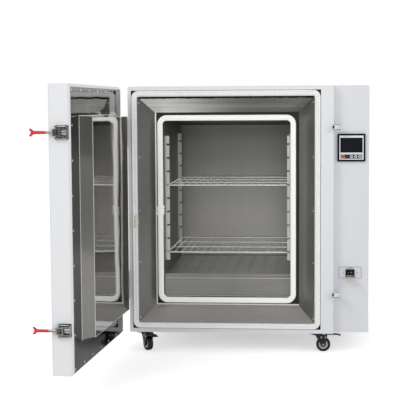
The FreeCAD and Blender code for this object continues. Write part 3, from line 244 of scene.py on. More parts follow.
finishLooks = {
    "casePaint": (powderCoat, {"colour": "e6e7e9", "second": "e1e3e6", "roughness": 0.38}),
    "columnPaint": (powderCoat, {"colour": "dfe0e3", "second": "dadce0", "roughness": 0.36}),
    # Painted light and shade: the throat, chamber, liner, plug, floor and standard steels are one stainless
    # steel, set to different levels part by part for how much light each part catches.
    "throatSteel": (panelSteel, {"colour": "a7a5a0", "level": 0.42, "roughness": 0.3, "metallic": 1.0,
        "grain": (1.5, 260, 260), "cloudDepth": 0.12, "streakDepth": 0.1, "grainDepth": 0.00003,
        "waveDepth": 0.0004, "facing": ((-0.14, -0.26), (0.0, 0.0), (-0.19, 0.19)),
        "sheen": {"from": -0.36, "to": 0.02, "depth": 1.0, "streak": 1.2, "level": 0.7, "dull": 0.85}}),
    "chamberSteel": (panelSteel, {"colour": "aaa9a4", "level": 0.42, "roughness": 0.36, "metallic": 0.8,
        "grain": (160, 160, 2), "cloudDepth": 0.16, "cloudStretch": (1, 1, 0.25), "streakDepth": 0.1,
        "waveDepth": 0.0006, "specularTint": 0.35, "facing": ((-0.36, 0.0), (0.2, 0.0), (-0.39, 0.3)),
        "sump": 0.262,
        "ramp": {"from": 0.25, "to": 0.85, "face": (1, -1),
                 "stops": [(0.0, 1.0), (0.3, 0.8), (0.7, 0.46)]}}),
    "linerSteel": (panelSteel, {"colour": "a0a2a5", "level": 0.34, "roughness": 0.05, "metallic": 1.0,
        "grain": (200, 200, 2), "streak": 0.04, "cloudDepth": 0.05, "streakDepth": 0.03,
        "grainDepth": 0.00001, "waveDepth": 0.0022, "wavePitch": 6.0, "warmth": 1.0,
        "facing": ((0, 0), (0, 0), (0, 0)),
        "ramp": {"from": 0.07, "to": 0.93, "face": (0, 1),
                 "stops": [(0.0, 0.05), (0.08, 0.07), (0.13, 0.4), (0.3, 0.6), (0.5, 1.1), (0.75, 1.05),
                           (0.9, 0.6), (1.0, 0.5)]}}),
    "plugSteel": (panelSteel, {"colour": "a0a2a5", "level": 0.56, "roughness": 0.05, "metallic": 1.0,
        "grain": (200, 200, 2), "streak": 0.04, "cloudDepth": 0.08, "streakDepth": 0.05,
        "grainDepth": 0.00001, "waveDepth": 0.0016, "wavePitch": 5.0,
        "facing": ((0, 0), (-0.32, 0), (0, 0))}),
    # Painted highlight: the shelf wires are near white, less metallic and glowing, for the glints along
    # them.
    "shelfWire": (sheetSteel, {"colour": "f4f4f2", "second": "e8e8e5", "roughness": 0.2, "metallic": 0.7,
        "glow": 0.12, "grain": (90, 90, 90), "streak": 0.06, "grainDepth": 0.00001}),
    "clampSteel": (sheetSteel, {"colour": "b9b8b4", "second": "6f6e69", "roughness": 0.18, "metallic": 1.0,
        "grain": (150, 150, 150), "clouds": 60.0}),
    "screwSteel": (sheetSteel, {"colour": "d4d3cf", "second": "b9b8b3", "roughness": 0.28, "metallic": 0.85,
        "grain": (300, 300, 300), "grainDepth": 0.00001, "clouds": 80.0}),
    # Painted highlight: near-white, less metallic steel for the latch straps and bolts, brighter than the
    # chrome it stands for.
    "latchBright": (sheetSteel, {"colour": "e4e4e2", "second": "d2d2cf", "roughness": 0.2, "metallic": 0.75,
        "grain": (300, 300, 300), "grainDepth": 0.00001, "clouds": 80.0}),
    "floorSteel": (panelSteel, {"colour": "aaa9a4", "level": 0.29, "roughness": 0.36, "metallic": 0.8,
        "grain": (2, 160, 160), "cloudDepth": 0.14, "streakDepth": 0.1, "waveDepth": 0.0004,
        "facing": ((0.0, 0.0), (0.0, 0.0), (0.0, 0.25))}),
    "standardSteel": (panelSteel, {"colour": "bab9b5", "level": 0.62, "roughness": 0.3, "metallic": 0.7,
        "grain": (160, 160, 2), "cloudDepth": 0.16, "streakDepth": 0.12,
        "facing": ((0.0, 0.0), (0.2, 0.0), (0.0, 0.0))}),
    # Painted shade: the gasket channels are steel coloured near black for the shade in their recess.
    "channelSteel": (sheetSteel, {"colour": "2a2a28", "second": "181817", "roughness": 0.6, "metallic": 0.2,
        "grain": (60, 60, 60), "clouds": 22.0}),
    # Painted highlight: near-white, glowing steel that paints bright edges and heads. The ledge lip, the
    # liner screws and the hem rods on the plug and floor use it.
    "lipSteel": (sheetSteel, {"colour": "f0efe9", "second": "d8d6cd", "roughness": 0.3, "metallic": 0.5,
        "glow": 0.1, "grain": (200, 200, 200), "grainDepth": 0.00001, "clouds": 60.0}),
    # Painted shade and light: the seal core is a darker grey for the shade between the braid's stitches,
    # with a slight glow.
    "sealShade": (mouldedPlastic, {"colour": "e2e2df", "second": "d5d5d1", "roughness": 0.95, "glow": 0.05,
        "grain": 1400.0, "grainDepth": 0.0003}),
    "beadBlack": (mouldedPlastic, {"colour": "1b1b19", "second": "10100f", "roughness": 0.8,
        "specular": 0.1, "grain": 500.0, "grainDepth": 0.0006}),
    "hookGrey": (powderCoat, {"colour": "77787c", "second": "6b6c70", "roughness": 0.45}),
    "hubGrey": (powderCoat, {"colour": "d9dadb", "second": "b9babc", "roughness": 0.3}),
    "facePlate": (powderCoat, {"colour": "dfe1e8", "second": "d5d8e0", "roughness": 0.35}),
    "edgeGrey": (powderCoat, {"colour": "a3a6b2", "second": "989ba8", "roughness": 0.4}),
    "markWhite": (powderCoat, {"colour": "b9bcc4", "second": "aeb2ba", "roughness": 0.5}),
    # Painted light: the rope fibre glows a little, to read whiter than the lamps make it.
    "ropeFibre": (mouldedPlastic, {"colour": "f8f8f7", "second": "efefec", "roughness": 0.9, "glow": 0.13,
        "grain": 1600.0, "grainDepth": 0.0002}),
    "sealYarn": (mouldedPlastic, {"colour": "f1efe6", "second": "c9c2a6", "roughness": 0.9, "grain": 1600.0,
        "grainDepth": 0.0002}),
    "darkHinge": (sheetSteel, {"colour": "4a4a4c", "second": "333335", "roughness": 0.36, "metallic": 0.8,
        "grain": (150, 150, 150), "clouds": 60.0}),
    "heaterSheath": (sheetSteel, {"colour": "8a7f72", "second": "5d5248", "roughness": 0.45,
        "metallic": 0.9, "grain": (40, 200, 200), "clouds": 18.0}),
    "motorEnamel": (powderCoat, {"colour": "4d5257", "second": "43484d", "roughness": 0.45}),
    "mineralWool": (mouldedPlastic, {"colour": "cbb98a", "second": "b7a374", "roughness": 0.95,
        "grain": 220.0, "grainDepth": 0.002}),
    # Painted light: the seal fibre glows a little, to read whiter than the lamps make it.
    "sealFibre": (mouldedPlastic, {"colour": "f6f7f8", "second": "edeeef", "roughness": 0.92, "glow": 0.17,
        "grain": 1400.0, "grainDepth": 0.0003}),
    "casterBlack": (mouldedPlastic, {"colour": "101012", "second": "0b0b0d", "roughness": 0.34}),
    "tyreBlack": (mouldedPlastic, {"colour": "0e0e0f", "second": "151515", "roughness": 0.45}),
    "blackPlastic": (mouldedPlastic, {"colour": "0c0d10", "second": "08090b", "roughness": 0.42,
        "specular": 0.12}),
    "screenGlass": (mouldedPlastic, {"colour": "131820", "second": "10141b", "roughness": 0.3,
        "specular": 0.12, "grainDepth": 0.0}),
    # Painted light: the orange key glows a little to read brighter.
    "orangeKey": (mouldedPlastic, {"colour": "fb7a18", "second": "f26d12", "roughness": 0.45,
        "glow": 0.15}),
    "blueKey": (mouldedPlastic, {"colour": "1d2c40", "second": "172436", "roughness": 0.45}),
    "greyKey": (mouldedPlastic, {"colour": "d9dade", "second": "cfd0d4", "roughness": 0.45}),
    "platePaint": (powderCoat, {"colour": "d9dbe6", "second": "d3d5e0", "roughness": 0.35}),
    "coverCream": (mouldedPlastic, {"colour": "d8d2bf", "second": "cfc9b5", "roughness": 0.3}),
    "gripRed": (mouldedPlastic, {"colour": "d8142b", "second": "c90f25", "roughness": 0.3, "coat": 0.3,
        "grain": 500.0}),
}
finishes = {name: makeFinish(name, look) for name, (makeFinish, look) in finishLooks.items()}

nodesOfFinish = {
    "casePaint": "outer_case base_pan rear_panel front_fascia motor_cover door_pan",
    "channelSteel": "gasket_channels",
    "throatSteel": "throat_frame exhaust_pipe exhaust_damper",
    "sealFibre": "outer_gasket inner_gasket",
    "chamberSteel": "chamber_liner back_duct_panel fan_impeller",
    "floorSteel": "slotted_floor",
    "standardSteel": "shelf_standards",
    "mineralWool": "insulation door_insulation",
    "heaterSheath": "heater_elements",
    "clampSteel": "temperature_probe latch_bases latch_lever_lower latch_lever_upper latch_bail_lower "
        "latch_bail_upper",
    "motorEnamel": "fan_motor",
    "shelfWire": "wire_shelf_upper wire_shelf_lower",
    "columnPaint": "control_housing control_front door_keepers",
    "blackPlastic": "cable_gland controller_case power_rocker",
    "screenGlass": "controller_screen",
    "orangeKey": "controller_key_1",
    "blueKey": "controller_key_2",
    "greyKey": "controller_key_3 controller_key_4 controller_key_5",
    "platePaint": "power_switch_plate",
    "coverCream": "switch_cover",
    "linerSteel": "door_liner",
    "plugSteel": "door_plug",
    "darkHinge": "cabinet_hinges door_hinges",
    "casterBlack": "caster_plates",
    "gripRed": "latch_grip_lower latch_grip_upper",
}
finishOfNode = {name: finish for finish, members in nodesOfFinish.items() for name in members.split()}
for name, node in nodes.items():
    if name.startswith("caster_fork") or name.startswith("brake_pedal"):
        finishOfNode[name] = "casterBlack"
    elif name.startswith("caster_wheel"):
        finishOfNode[name] = "tyreBlack"
    node.data.materials.clear()
    node.data.materials.append(finishes[finishOfNode[name]])
print("finishes given to the nodes")


# Modelling helpers. Every piece is shaped in place, with its object at the origin.

def startPiece(name):
    bpy.ops.object.select_all(action="DESELECT")
    bpy.ops.object.add(type="MESH", location=(0, 0, 0))
    piece = bpy.context.object
    piece.name = piece.data.name = name
    bpy.ops.object.mode_set(mode="EDIT")
    return piece


def endPiece():
    bpy.ops.mesh.select_all(action="SELECT")
    bpy.ops.mesh.normals_make_consistent(inside=False)
    bpy.ops.object.mode_set(mode="OBJECT")
    return bpy.context.object


def addBlock(low, high, rounding=0.0):
    bpy.ops.mesh.select_all(action="DESELECT")
    middle = [(first + last) / 2 for first, last in zip(low, high)]
    bpy.ops.mesh.primitive_cube_add(size=1, location=middle)
    bpy.ops.transform.resize(value=[last - first for first, last in zip(low, high)])
    if rounding:
        bpy.ops.mesh.bevel(offset=rounding, segments=2, affect="EDGES")


turnToAxis = {"x": (0, math.pi / 2, 0), "y": (math.pi / 2, 0, 0), "z": (0, 0, 0)}


def addRod(middle, radius, length, axis, sides=24):
    bpy.ops.mesh.select_all(action="DESELECT")
    bpy.ops.mesh.primitive_cylinder_add(radius=radius, depth=length, vertices=sides, location=middle,
                                        rotation=turnToAxis[axis])


def addRing(middle, radius, wire, axis, steps=32, sides=8):
    bpy.ops.mesh.select_all(action="DESELECT")
    bpy.ops.mesh.primitive_torus_add(major_radius=radius, minor_radius=wire, major_segments=steps,
                                     minor_segments=sides, location=middle, rotation=turnToAxis[axis])


def blockPiece(name, low, high, rounding=0.0):
    startPiece(name)
    addBlock(low, high, rounding)
    return endPiece()


def rodPiece(name, middle, radius, length, axis, sides=24):
    startPiece(name)
    addRod(middle, radius, length, axis, sides)
    return endPiece()


def applied(piece, kind, settings):
    bpy.ops.object.select_all(action="DESELECT")
    piece.select_set(True)
    bpy.context.view_layer.objects.active = piece
    modifier = piece.modifiers.new(kind.lower(), kind)
    for key, value in settings.items():
        setattr(modifier, key, value)
    bpy.ops.object.modifier_apply(modifier=modifier.name)


def cutAway(piece, cutter):
    applied(piece, "BOOLEAN", {"operation": "DIFFERENCE", "object": cutter, "solver": "EXACT"})
    bpy.data.objects.remove(cutter)


def rounded(piece, width, segments=2, angle=40):
    applied(piece, "BEVEL", {"width": width, "segments": segments, "limit_method": "ANGLE",
                             "angle_limit": math.radians(angle)})


def joined(name, pieces):
    bpy.ops.object.select_all(action="DESELECT")
    for piece in pieces:
        piece.select_set(True)
    bpy.context.view_layer.objects.active = pieces[0]
    if len(pieces) > 1:
        bpy.ops.object.join()
    pieces[0].name = pieces[0].data.name = name
    return pieces[0]


def dressed(piece, finish, body, smoothAngle=35):
    bpy.ops.object.select_all(action="DESELECT")
    piece.select_set(True)
    bpy.context.view_layer.objects.active = piece
    bpy.ops.object.shade_smooth_by_angle(angle=math.radians(smoothAngle))
    if finish:
        piece.data.materials.clear()
        piece.data.materials.append(finishes[finish])
    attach(piece, body)
    return piece


def copiedTo(pattern, matrix):
    twin = pattern.copy()
    twin.data = pattern.data.copy()
    bpy.context.scene.collection.objects.link(twin)
    twin.data.transform(matrix)
    return twin


def facing(out):
    return Vector(out).to_track_quat("Z", "Y").to_matrix().to_4x4()


def scattered(name, pattern, places, finish, body):
    copies = []
    for place, out in places:
        spin = Matrix.Rotation(random.uniform(0, math.pi), 4, "Z")
        copies.append(copiedTo(pattern, Matrix.Translation(place) @ facing(out) @ spin))
    return dressed(joined(name, copies), finish, body)


random.seed(7)
swing = next(joint for joint in frame["joints"] if joint["name"] == "door_swing")
hinge = Matrix.Translation(swing["pos_m"])
doorTurn = hinge @ Matrix.Rotation(math.radians(swing["range_deg"][0]), 4, "Z") @ hinge.inverted()
shutTurn = doorTurn.inverted()


def shutBox(node):
    corners = [shutTurn @ vertex.co for vertex in nodes[node].data.vertices]
    low = Vector(min(corner[axis] for corner in corners) for axis in range(3))
    return low, Vector(max(corner[axis] for corner in corners) for axis in range(3))


# Fasteners

screwSizes = {"radius": 0.0036, "height": 0.0021, "slotLong": 0.0046, "slotWide": 0.0009, "slotDeep": 0.0011}


def panScrew(name, radius):
    scale = radius / screwSizes["radius"]
    height = screwSizes["height"] * scale
    startPiece(name)
    bpy.ops.mesh.primitive_uv_sphere_add(segments=20, ring_count=10, radius=radius)
    bpy.ops.transform.resize(value=(1, 1, height / radius))
    bpy.ops.mesh.bisect(plane_co=(0, 0, -0.0001), plane_no=(0, 0, 1), use_fill=True, clear_inner=True)
    head = endPiece()
    long, wide = screwSizes["slotLong"] * scale / 2, screwSizes["slotWide"] * scale / 2
    bottom = height - screwSizes["slotDeep"] * scale
    cross = blockPiece("crossSlot", (-long, -wide, bottom), (long, wide, height * 2))
    across = blockPiece("crossSlotAcross", (-wide, -long, bottom), (wide, long, height * 2))
    cutAway(head, cross)
    cutAway(head, across)
    return head


def hexBolt(name, across, height):
    startPiece(name)
    addRod((0, 0, 0.0006), across * 0.66, 0.0012, "z", 28)
    addRod((0, 0, 0.0012 + height / 2), across / math.sqrt(3), height, "z", 6)
    bolt = endPiece()
    rounded(bolt, height * 0.12, 2, 50)
    return bolt


smallScrew = panScrew("smallScrew", 0.0025)
sheetScrew = panScrew("sheetScrew", 0.0036)
plateBolt = hexBolt("plateBolt", 0.010, 0.0048)
throatLow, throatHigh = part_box("throat_frame")
linerLow, linerHigh = shutBox("door_liner")
print("fasteners ready")


def mouthScrews():
    inset = 0.0052
    mouth = {"left": throatLow.x, "right": throatHigh.x, "low": throatLow.z, "high": throatHigh.z}
    y = throatLow.y + inset - 0.0008
    sideHeights = [0.878, 0.689, 0.502, 0.320, 0.124]
    crossPlaces = [-0.359, -0.168, 0.018, 0.206]
    places = []
    for z in sideHeights:
        places.append(((mouth["left"] + inset + 0.0012, y, z), (1, -1, 0)))
        places.append(((mouth["right"] - inset - 0.0012, y, z), (-1, -1, 0)))
    for x in crossPlaces:
        places.append(((x, y, mouth["low"] + inset + 0.0012), (0, -1, 1)))
        places.append(((x, y, mouth["high"] - inset - 0.0012), (0, -1, -1)))
    scattered("mouthScrews", sheetScrew, places, "screwSteel", "cabinet")


def linerScrews():
    inset, pitch, flatness = 0.009, 0.109, 0.26
    y = linerHigh.y
    left, right = linerLow.x + inset, linerHigh.x - inset
    low, high = linerLow.z + inset, linerHigh.z - inset
    across = round((right - left) / pitch)
    upright = round((high - low) / pitch)
    rim = []
    for step in range(across):
        rim.append((left + (right - left) * step / across, low))
        rim.append((right - (right - left) * step / across, high))
    for step in range(upright):
        rim.append((right, low + (high - low) * step / upright))
        rim.append((left, high - (high - low) * step / upright))
    places = [(doorTurn @ Vector((x, y, z)), doorTurn.to_3x3() @ Vector((0, 1, 0))) for x, z in rim]
    rimScrew = panScrew("rimScrew", 0.0036)
    rimScrew.data.transform(Matrix.Diagonal((1, 1, flatness, 1)))
    # Painted highlight: the flattened screw heads take the bright lip steel, brighter than plain screw
    # steel.
    scattered("linerScrews", rimScrew, places, "lipSteel", "door")
    bpy.data.objects.remove(rimScrew)


mouthScrews()
linerScrews()
print("liner and mouth screws set")


# Fibre seals. Each is laid out flat, x across and y up the cabinet, and then stood up to face the door.

standUp = Matrix.Rotation(math.pi / 2, 4, "X")


def roundedPath(name, rect, radius, steps):
    left, right, low, high = rect
    startPiece(name)
    bpy.ops.mesh.primitive_plane_add(size=1, location=((left + right) / 2, (low + high) / 2, 0))
    bpy.ops.transform.resize(value=(right - left, high - low, 1))
    bpy.ops.mesh.bevel(offset=radius, segments=steps, affect="VERTICES")
    bpy.ops.mesh.delete(type="ONLY_FACE")
    bpy.ops.object.mode_set(mode="OBJECT")
    bpy.ops.object.convert(target="CURVE")
    path = bpy.context.object
    path.data.twist_mode = "Z_UP"
    return path


def pathLength(rect, radius):
    left, right, low, high = rect
    return 2 * (right - left + high - low) - 8 * radius + 2 * math.pi * radius


def tubeAlong(name, path, radius, flatness=1.0):
    tube = path.copy()
    tube.data = path.data.copy()
    bpy.context.scene.collection.objects.link(tube)
    tube.data.bevel_depth = radius
    tube.data.bevel_resolution = 5
    bpy.ops.object.select_all(action="DESELECT")
    tube.select_set(True)
    bpy.context.view_layer.objects.active = tube
    bpy.ops.object.convert(target="MESH")
    tube = bpy.context.object
    tube.name = name
    tube.data.transform(Matrix.Diagonal((1, 1, flatness, 1)))
    return tube


def stitchesAlong(name, path, length, stitch):
    startPiece(name)
    for row, lean in stitch["rows"]:
        depth = math.sqrt(max(stitch["radius"] ** 2 - row ** 2, 0)) * stitch.get("flatness", 1.0)
        bpy.ops.mesh.select_all(action="DESELECT")
        bpy.ops.mesh.primitive_uv_sphere_add(segments=6, ring_count=4, radius=1)
        bpy.ops.transform.resize(value=stitch["grain"])
        bpy.ops.transform.rotate(value=math.radians(lean), orient_axis="Z", center_override=(0, 0, 0))
        bpy.ops.transform.translate(value=(0, row, depth))
    unit = endPiece()
    count = round(length / stitch["pitch"])
    applied(unit, "ARRAY", {"count": count, "use_relative_offset": False, "use_constant_offset": True,
                            "constant_offset_displace": (length / count, 0, 0)})
    applied(unit, "CURVE", {"object": path, "deform_axis": "POS_X"})
    return unit


def plainBand(name, outer, outerRadius, inner, innerRadius, back, front):
    rings = []
    for label, rect, radius in (("bandOuter", outer, outerRadius), ("bandInner", inner, innerRadius)):
        path = roundedPath(label, rect, radius, 8)
        bpy.ops.object.convert(target="MESH")
        rings.append(bpy.context.object)
    band = joined(name, rings)
    bpy.ops.object.mode_set(mode="EDIT")
    bpy.ops.mesh.select_all(action="SELECT")
    bpy.ops.mesh.bridge_edge_loops()
    bpy.ops.mesh.select_all(action="SELECT")
    bpy.ops.mesh.extrude_region_move(TRANSFORM_OT_translate={"value": (0, 0, front - back)})
    bpy.ops.mesh.select_all(action="SELECT")
    bpy.ops.transform.translate(value=(0, 0, back))
    return endPiece()


def ropeJoint(name, joint):
    strands = []
    across, tall = joint["size"]
    middleX, middleZ = joint["middle"]
    for index in range(joint["wraps"]):
        share = index / (joint["wraps"] - 1) - 0.5
        bpy.ops.object.select_all(action="DESELECT")
        bpy.ops.curve.primitive_bezier_curve_add()
        strand = bpy.context.object
        points = strand.data.splines[0].bezier_points
        rise = joint["slant"] * across / 2 + random.uniform(-1, 1) * joint["stray"]
        z = share * tall + random.uniform(-1, 1) * joint["stray"]
        ends = ((-across / 2, z - rise), (across / 2, z + rise))
        for point, (x, height), side in zip(points, ends, (-1, 1)):
            point.co = (x, height, joint["back"])
            point.handle_left_type = point.handle_right_type = "FREE"
            point.handle_right = (x * 0.75, height, joint["front"])
            point.handle_left = (x * 0.75, height, joint["front"])
        strand.data.bevel_depth = joint["yarn"] * random.uniform(0.8, 1.15)
        strand.data.bevel_resolution = 2
        bpy.ops.object.convert(target="MESH")
        strands.append(bpy.context.object)
    for index in range(joint["frays"]):
        startPiece("fray")
        side = random.choice((-1, 1))
        length = random.uniform(0.4, 1.0) * joint["frayLength"]
        thick, thin = joint["yarn"] * 0.45, joint["yarn"] * 0.15
        bpy.ops.mesh.primitive_cone_add(vertices=5, radius1=thick, radius2=thin, depth=length,
                                        location=(0, 0, length / 2))
        fray = endPiece()
        lean = Vector((side * random.uniform(0.4, 1), random.uniform(-1.2, 0.8),
                       random.uniform(-0.12, 0.02)))
        start = Vector((side * across * 0.36, random.uniform(-0.5, 0.5) * tall, joint["front"] - 0.0024))
        fray.data.transform(Matrix.Translation(start) @ facing(lean))
        strands.append(fray)
    knot = joined(name, strands)
    knot.data.transform(Matrix.Translation((middleX, middleZ, 0)))
    return knot


def outerSeal():
    low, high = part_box("outer_gasket")
    rect = (low.x, high.x, low.z, high.z)
    band = high.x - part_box("throat_frame")[1].x
    bulb = {"radius": 0.0056, "offset": 0.0139, "corner": 0.0125, "centre": 0.0024}
    hem = {"radius": 0.0044, "offset": 0.0046, "corner": 0.0205, "centre": 0.0030}
    face = -low.y
    bulb["level"] = face - bulb["radius"] - 0.0015
    hem["level"] = face - hem["radius"] - 0.0014
    cores, parts = [], []
    for part in (bulb, hem):
        part["rect"] = (rect[0] + part["offset"], rect[1] - part["offset"],
                        rect[2] + part["offset"], rect[3] - part["offset"])
        part["path"] = roundedPath("sealPath", part["rect"], part["corner"], 10)
        part["length"] = pathLength(part["rect"], part["corner"])
        tube = tubeAlong("sealCore", part["path"], part["radius"] * 0.86)
        tube.data.transform(Matrix.Translation((0, 0, part["level"])))
        cores.append(tube)
    braid = {"radius": bulb["radius"], "pitch": 0.0066, "grain": (0.0029, 0.0014, 0.0015),
             "rows": [(-0.0046, 30), (-0.0016, -30), (0.0016, 30), (0.0046, -30)]}
    ribs = {"radius": hem["radius"], "pitch": 0.0066, "grain": (0.0023, 0.0034, 0.0012), "rows": [(0.0, 8)]}
    for part, stitch in ((bulb, braid), (hem, ribs)):
        stitches = stitchesAlong("sealStitches", part["path"], part["length"], stitch)
        stitches.data.transform(Matrix.Translation((0, 0, part["level"])))
        parts.append(stitches)
        bpy.data.objects.remove(part["path"])
    outerEdge = (rect[0] + 0.0008, rect[1] - 0.0008, rect[2] + 0.0008, rect[3] - 0.0008)
    width = 0.0185
    innerEdge = (rect[0] + width, rect[1] - width, rect[2] + width, rect[3] - width)
    parts.append(plainBand("sealTail", outerEdge, 0.024, innerEdge, 0.008, face - 0.0170, face - 0.0052))
    seal = joined("outerSeal", parts)
    seal.data.transform(standUp)
    dressed(seal, "sealFibre", "cabinet")
    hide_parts("outer_gasket")
    core = joined("outerSealCore", cores)
    core.data.transform(standUp)
    dressed(core, "sealShade", "cabinet")
    sealFringe(rect, width, face - 0.0062)
    joint = {"size": (0.021, 0.040), "middle": (rect[0] + 0.0105, 0.464), "wraps": 15, "slant": 0.85,
             "stray": 0.0016, "yarn": 0.0013, "back": face - 0.006, "front": face + 0.0002, "frays": 26,
             "frayLength": 0.011}
    knot = ropeJoint("outerSealJoint", joint)
    knot.data.transform(standUp)
    dressed(knot, "sealYarn", "cabinet")


def sealFringe(rect, width, level):
    inner = (rect[0] + width, rect[1] - width, rect[2] + width, rect[3] - width)
    path = roundedPath("fringePath", inner, 0.008, 10)
    tuft = {"radius": 0.0, "pitch": 0.0066, "grain": (0.0016, 0.0028, 0.0013), "rows": [(0.0, 14)]}
    fringe = stitchesAlong("sealFringe", path, pathLength(inner, 0.008), tuft)
    bpy.data.objects.remove(path)
    fringe.data.transform(Matrix.Translation((0, 0, level)))
    fringe.data.transform(standUp)
    dressed(fringe, "sealYarn", "cabinet")


def innerSeal():
    low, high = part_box("inner_gasket")
    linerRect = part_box("chamber_liner")
    sheet = 0.0012
    hole = (linerRect[0].x + sheet + 0.001, linerRect[1].x - sheet - 0.001)
    width = high.x - hole[1]
    middle = width / 2
    rect = (low.x + middle, high.x - middle, low.z + middle, high.z - middle)
    corner = 0.0235
    face = -low.y
    path = roundedPath("ropePath", rect, corner, 12)
    length = pathLength(rect, corner)
    lobe = {"radius": 0.0054, "offsets": (-width / 2 + 0.0054, 0, width / 2 - 0.0054)}
    parts = []
    for offset in lobe["offsets"]:
        grown = (rect[0] - offset, rect[1] + offset, rect[2] - offset, rect[3] + offset)
        lobePath = roundedPath("lobePath", grown, corner + offset, 12)
        crown = 0.0006 if offset == 0 else 0.0
        tube = tubeAlong("ropeLobe", lobePath, lobe["radius"])
        tube.data.transform(Matrix.Translation((0, 0, face - lobe["radius"] - 0.0006 + crown)))
        parts.append(tube)
        bpy.data.objects.remove(lobePath)
    weave = {"radius": 0.040, "pitch": 0.0036, "grain": (0.0022, 0.0011, 0.0005),
             "rows": [(-0.0072, 22), (-0.0036, -22), (0.0, 22), (0.0036, -22), (0.0072, 22)]}
    stitches = stitchesAlong("ropeStitches", path, length, weave)
    stitches.data.transform(Matrix.Translation((0, 0, face - weave["radius"] - 0.0004)))
    parts.append(stitches)
    bpy.data.objects.remove(path)
    edge = width / 2 - 0.0018
    outerEdge = (rect[0] - edge, rect[1] + edge, rect[2] - edge, rect[3] + edge)
    innerEdge = (rect[0] + edge, rect[1] - edge, rect[2] + edge, rect[3] - edge)
    ledge = -high.y
    body = plainBand("ropeBody", outerEdge, corner + edge, innerEdge, corner - edge, ledge, face - 0.0050)
    parts.append(body)
    seal = joined("innerSeal", parts)
    seal.data.transform(standUp)
    dressed(seal, "ropeFibre", "cabinet")
    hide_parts("inner_gasket")
    joint = {"size": (0.024, 0.030), "middle": (rect[0], 0.5), "wraps": 7, "slant": 0.35, "stray": 0.003,
             "yarn": 0.0022, "back": face - 0.008, "front": face - 0.0010, "frays": 10, "frayLength": 0.009}
    knot = ropeJoint("innerSealJoint", joint)
    knot.data.transform(standUp)
    dressed(knot, "ropeFibre", "cabinet")


# Painted shadow: a ragged black strip along the top of the mouth stands in for the shadow gap between the
# top seal and the throat's top panel.
def mouthShadowStrip():
    left, right = throatLow.x + 0.006, throatHigh.x - 0.006
    top, deep = throatHigh.z - 0.0006, 0.0075
    startPiece("mouthShadowStrip")
    addBlock((left, throatLow.y + 0.0004, top - deep), (right, throatLow.y + 0.0040, top))
    bpy.ops.mesh.select_all(action="SELECT")
    for place in range(1, 120):
        x = left + (right - left) * place / 120
        bpy.ops.mesh.bisect(plane_co=(x, 0, 0), plane_no=(1, 0, 0))
        bpy.ops.mesh.select_all(action="SELECT")
    shadowStrip = endPiece()
    drops = {}
    for vertex in shadowStrip.data.vertices:
        if vertex.co.z < top - deep / 2:
            drops.setdefault(round(vertex.co.x, 5), random.uniform(-0.0012, 0.0014))
            vertex.co.z += drops[round(vertex.co.x, 5)]
    dressed(shadowStrip, "beadBlack", "cabinet", 60)


def ledgeLip():
    low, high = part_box("inner_gasket")
    corners = [vertex.co for vertex in nodes["throat_frame"].data.vertices]
    ends = [corner for corner in corners if corner.y > throatHigh.y - 0.0005]
    middle = (throatLow + throatHigh) / 2
    left = max(end.x for end in ends if end.x < middle.x)
    right = min(end.x for end in ends if end.x > middle.x)
    bottom = max(end.z for end in ends if end.z < middle.z)
    top = min(end.z for end in ends if end.z > middle.z)
    lip, back, front = 0.0045, high.y + 0.0002, high.y - 0.0012
    startPiece("ledgeLip")
    addBlock((left - 0.0004, front, bottom), (left + lip, back, top), 0.0004)
    addBlock((left - 0.0004, front - 0.0002, bottom - 0.0004), (right, back - 0.0002, bottom + lip), 0.0004)
    # Painted highlight: the ledge lip takes the bright lip steel, for the bright strip along the ledge.
    dressed(endPiece(), "lipSteel", "cabinet")


outerSeal()
innerSeal()
mouthShadowStrip()
ledgeLip()
print("seals laid")


# Controller and switch, set on the front of the column

def framePlate(name, outer, inner, back, front, rounding):
    plate = blockPiece(name, (outer[0], front, outer[2]), (outer[1], back, outer[3]))
    applied(plate, "BEVEL", {"width": rounding, "segments": 3, "limit_method": "ANGLE",
                             "angle_limit": math.radians(40)})
    for window in inner:
        low, high = (window[0], front - 0.01, window[2]), (window[1], back + 0.01, window[3])
        cutAway(plate, blockPiece("windowCut", low, high))
    return plate


def controllerFace():
    low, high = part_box("controller_case")
    screenLow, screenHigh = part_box("controller_screen")
    keyBoxes = [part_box("controller_key_%d" % number) for number in range(1, 6)]
    border, face = 0.0062, low.y
    outer = (low.x + border, high.x - border, low.z + border, high.z - border)
    window = (screenLow.x - 0.0001, screenHigh.x + 0.0001, screenLow.z - 0.0001, screenHigh.z + 0.0001)
    keys = (keyBoxes[0][0].x - 0.0018, keyBoxes[4][1].x + 0.0018,
            keyBoxes[0][0].z - 0.0018, keyBoxes[0][1].z + 0.0018)
    plate = framePlate("controllerFace", outer, (window, keys), face + 0.0001, face - 0.0007, 0.0006)
    dressed(plate, "facePlate", "cabinet")
    rim = 0.0030
    inner = (window[0] + rim, window[1] - rim, window[2] + rim, window[3] - rim)
    border = framePlate("windowBorder", window, (inner,), face + 0.0004, face - 0.0004, 0.0003)
    dressed(border, "blackPlastic", "cabinet")
    plate = blockPiece("keyStrip", (keys[0], face - 0.0003, keys[2]), (keys[1], face + 0.0004, keys[3]))
    room, through = 0.0003, 0.01
    for keyLow, keyHigh in keyBoxes:
        low = (keyLow.x - room, face - through, keyLow.z - room)
        high = (keyHigh.x + room, face + through, keyHigh.z + room)
        cutAway(plate, blockPiece("keyCut", low, high))
    dressed(plate, "blackPlastic", "cabinet")


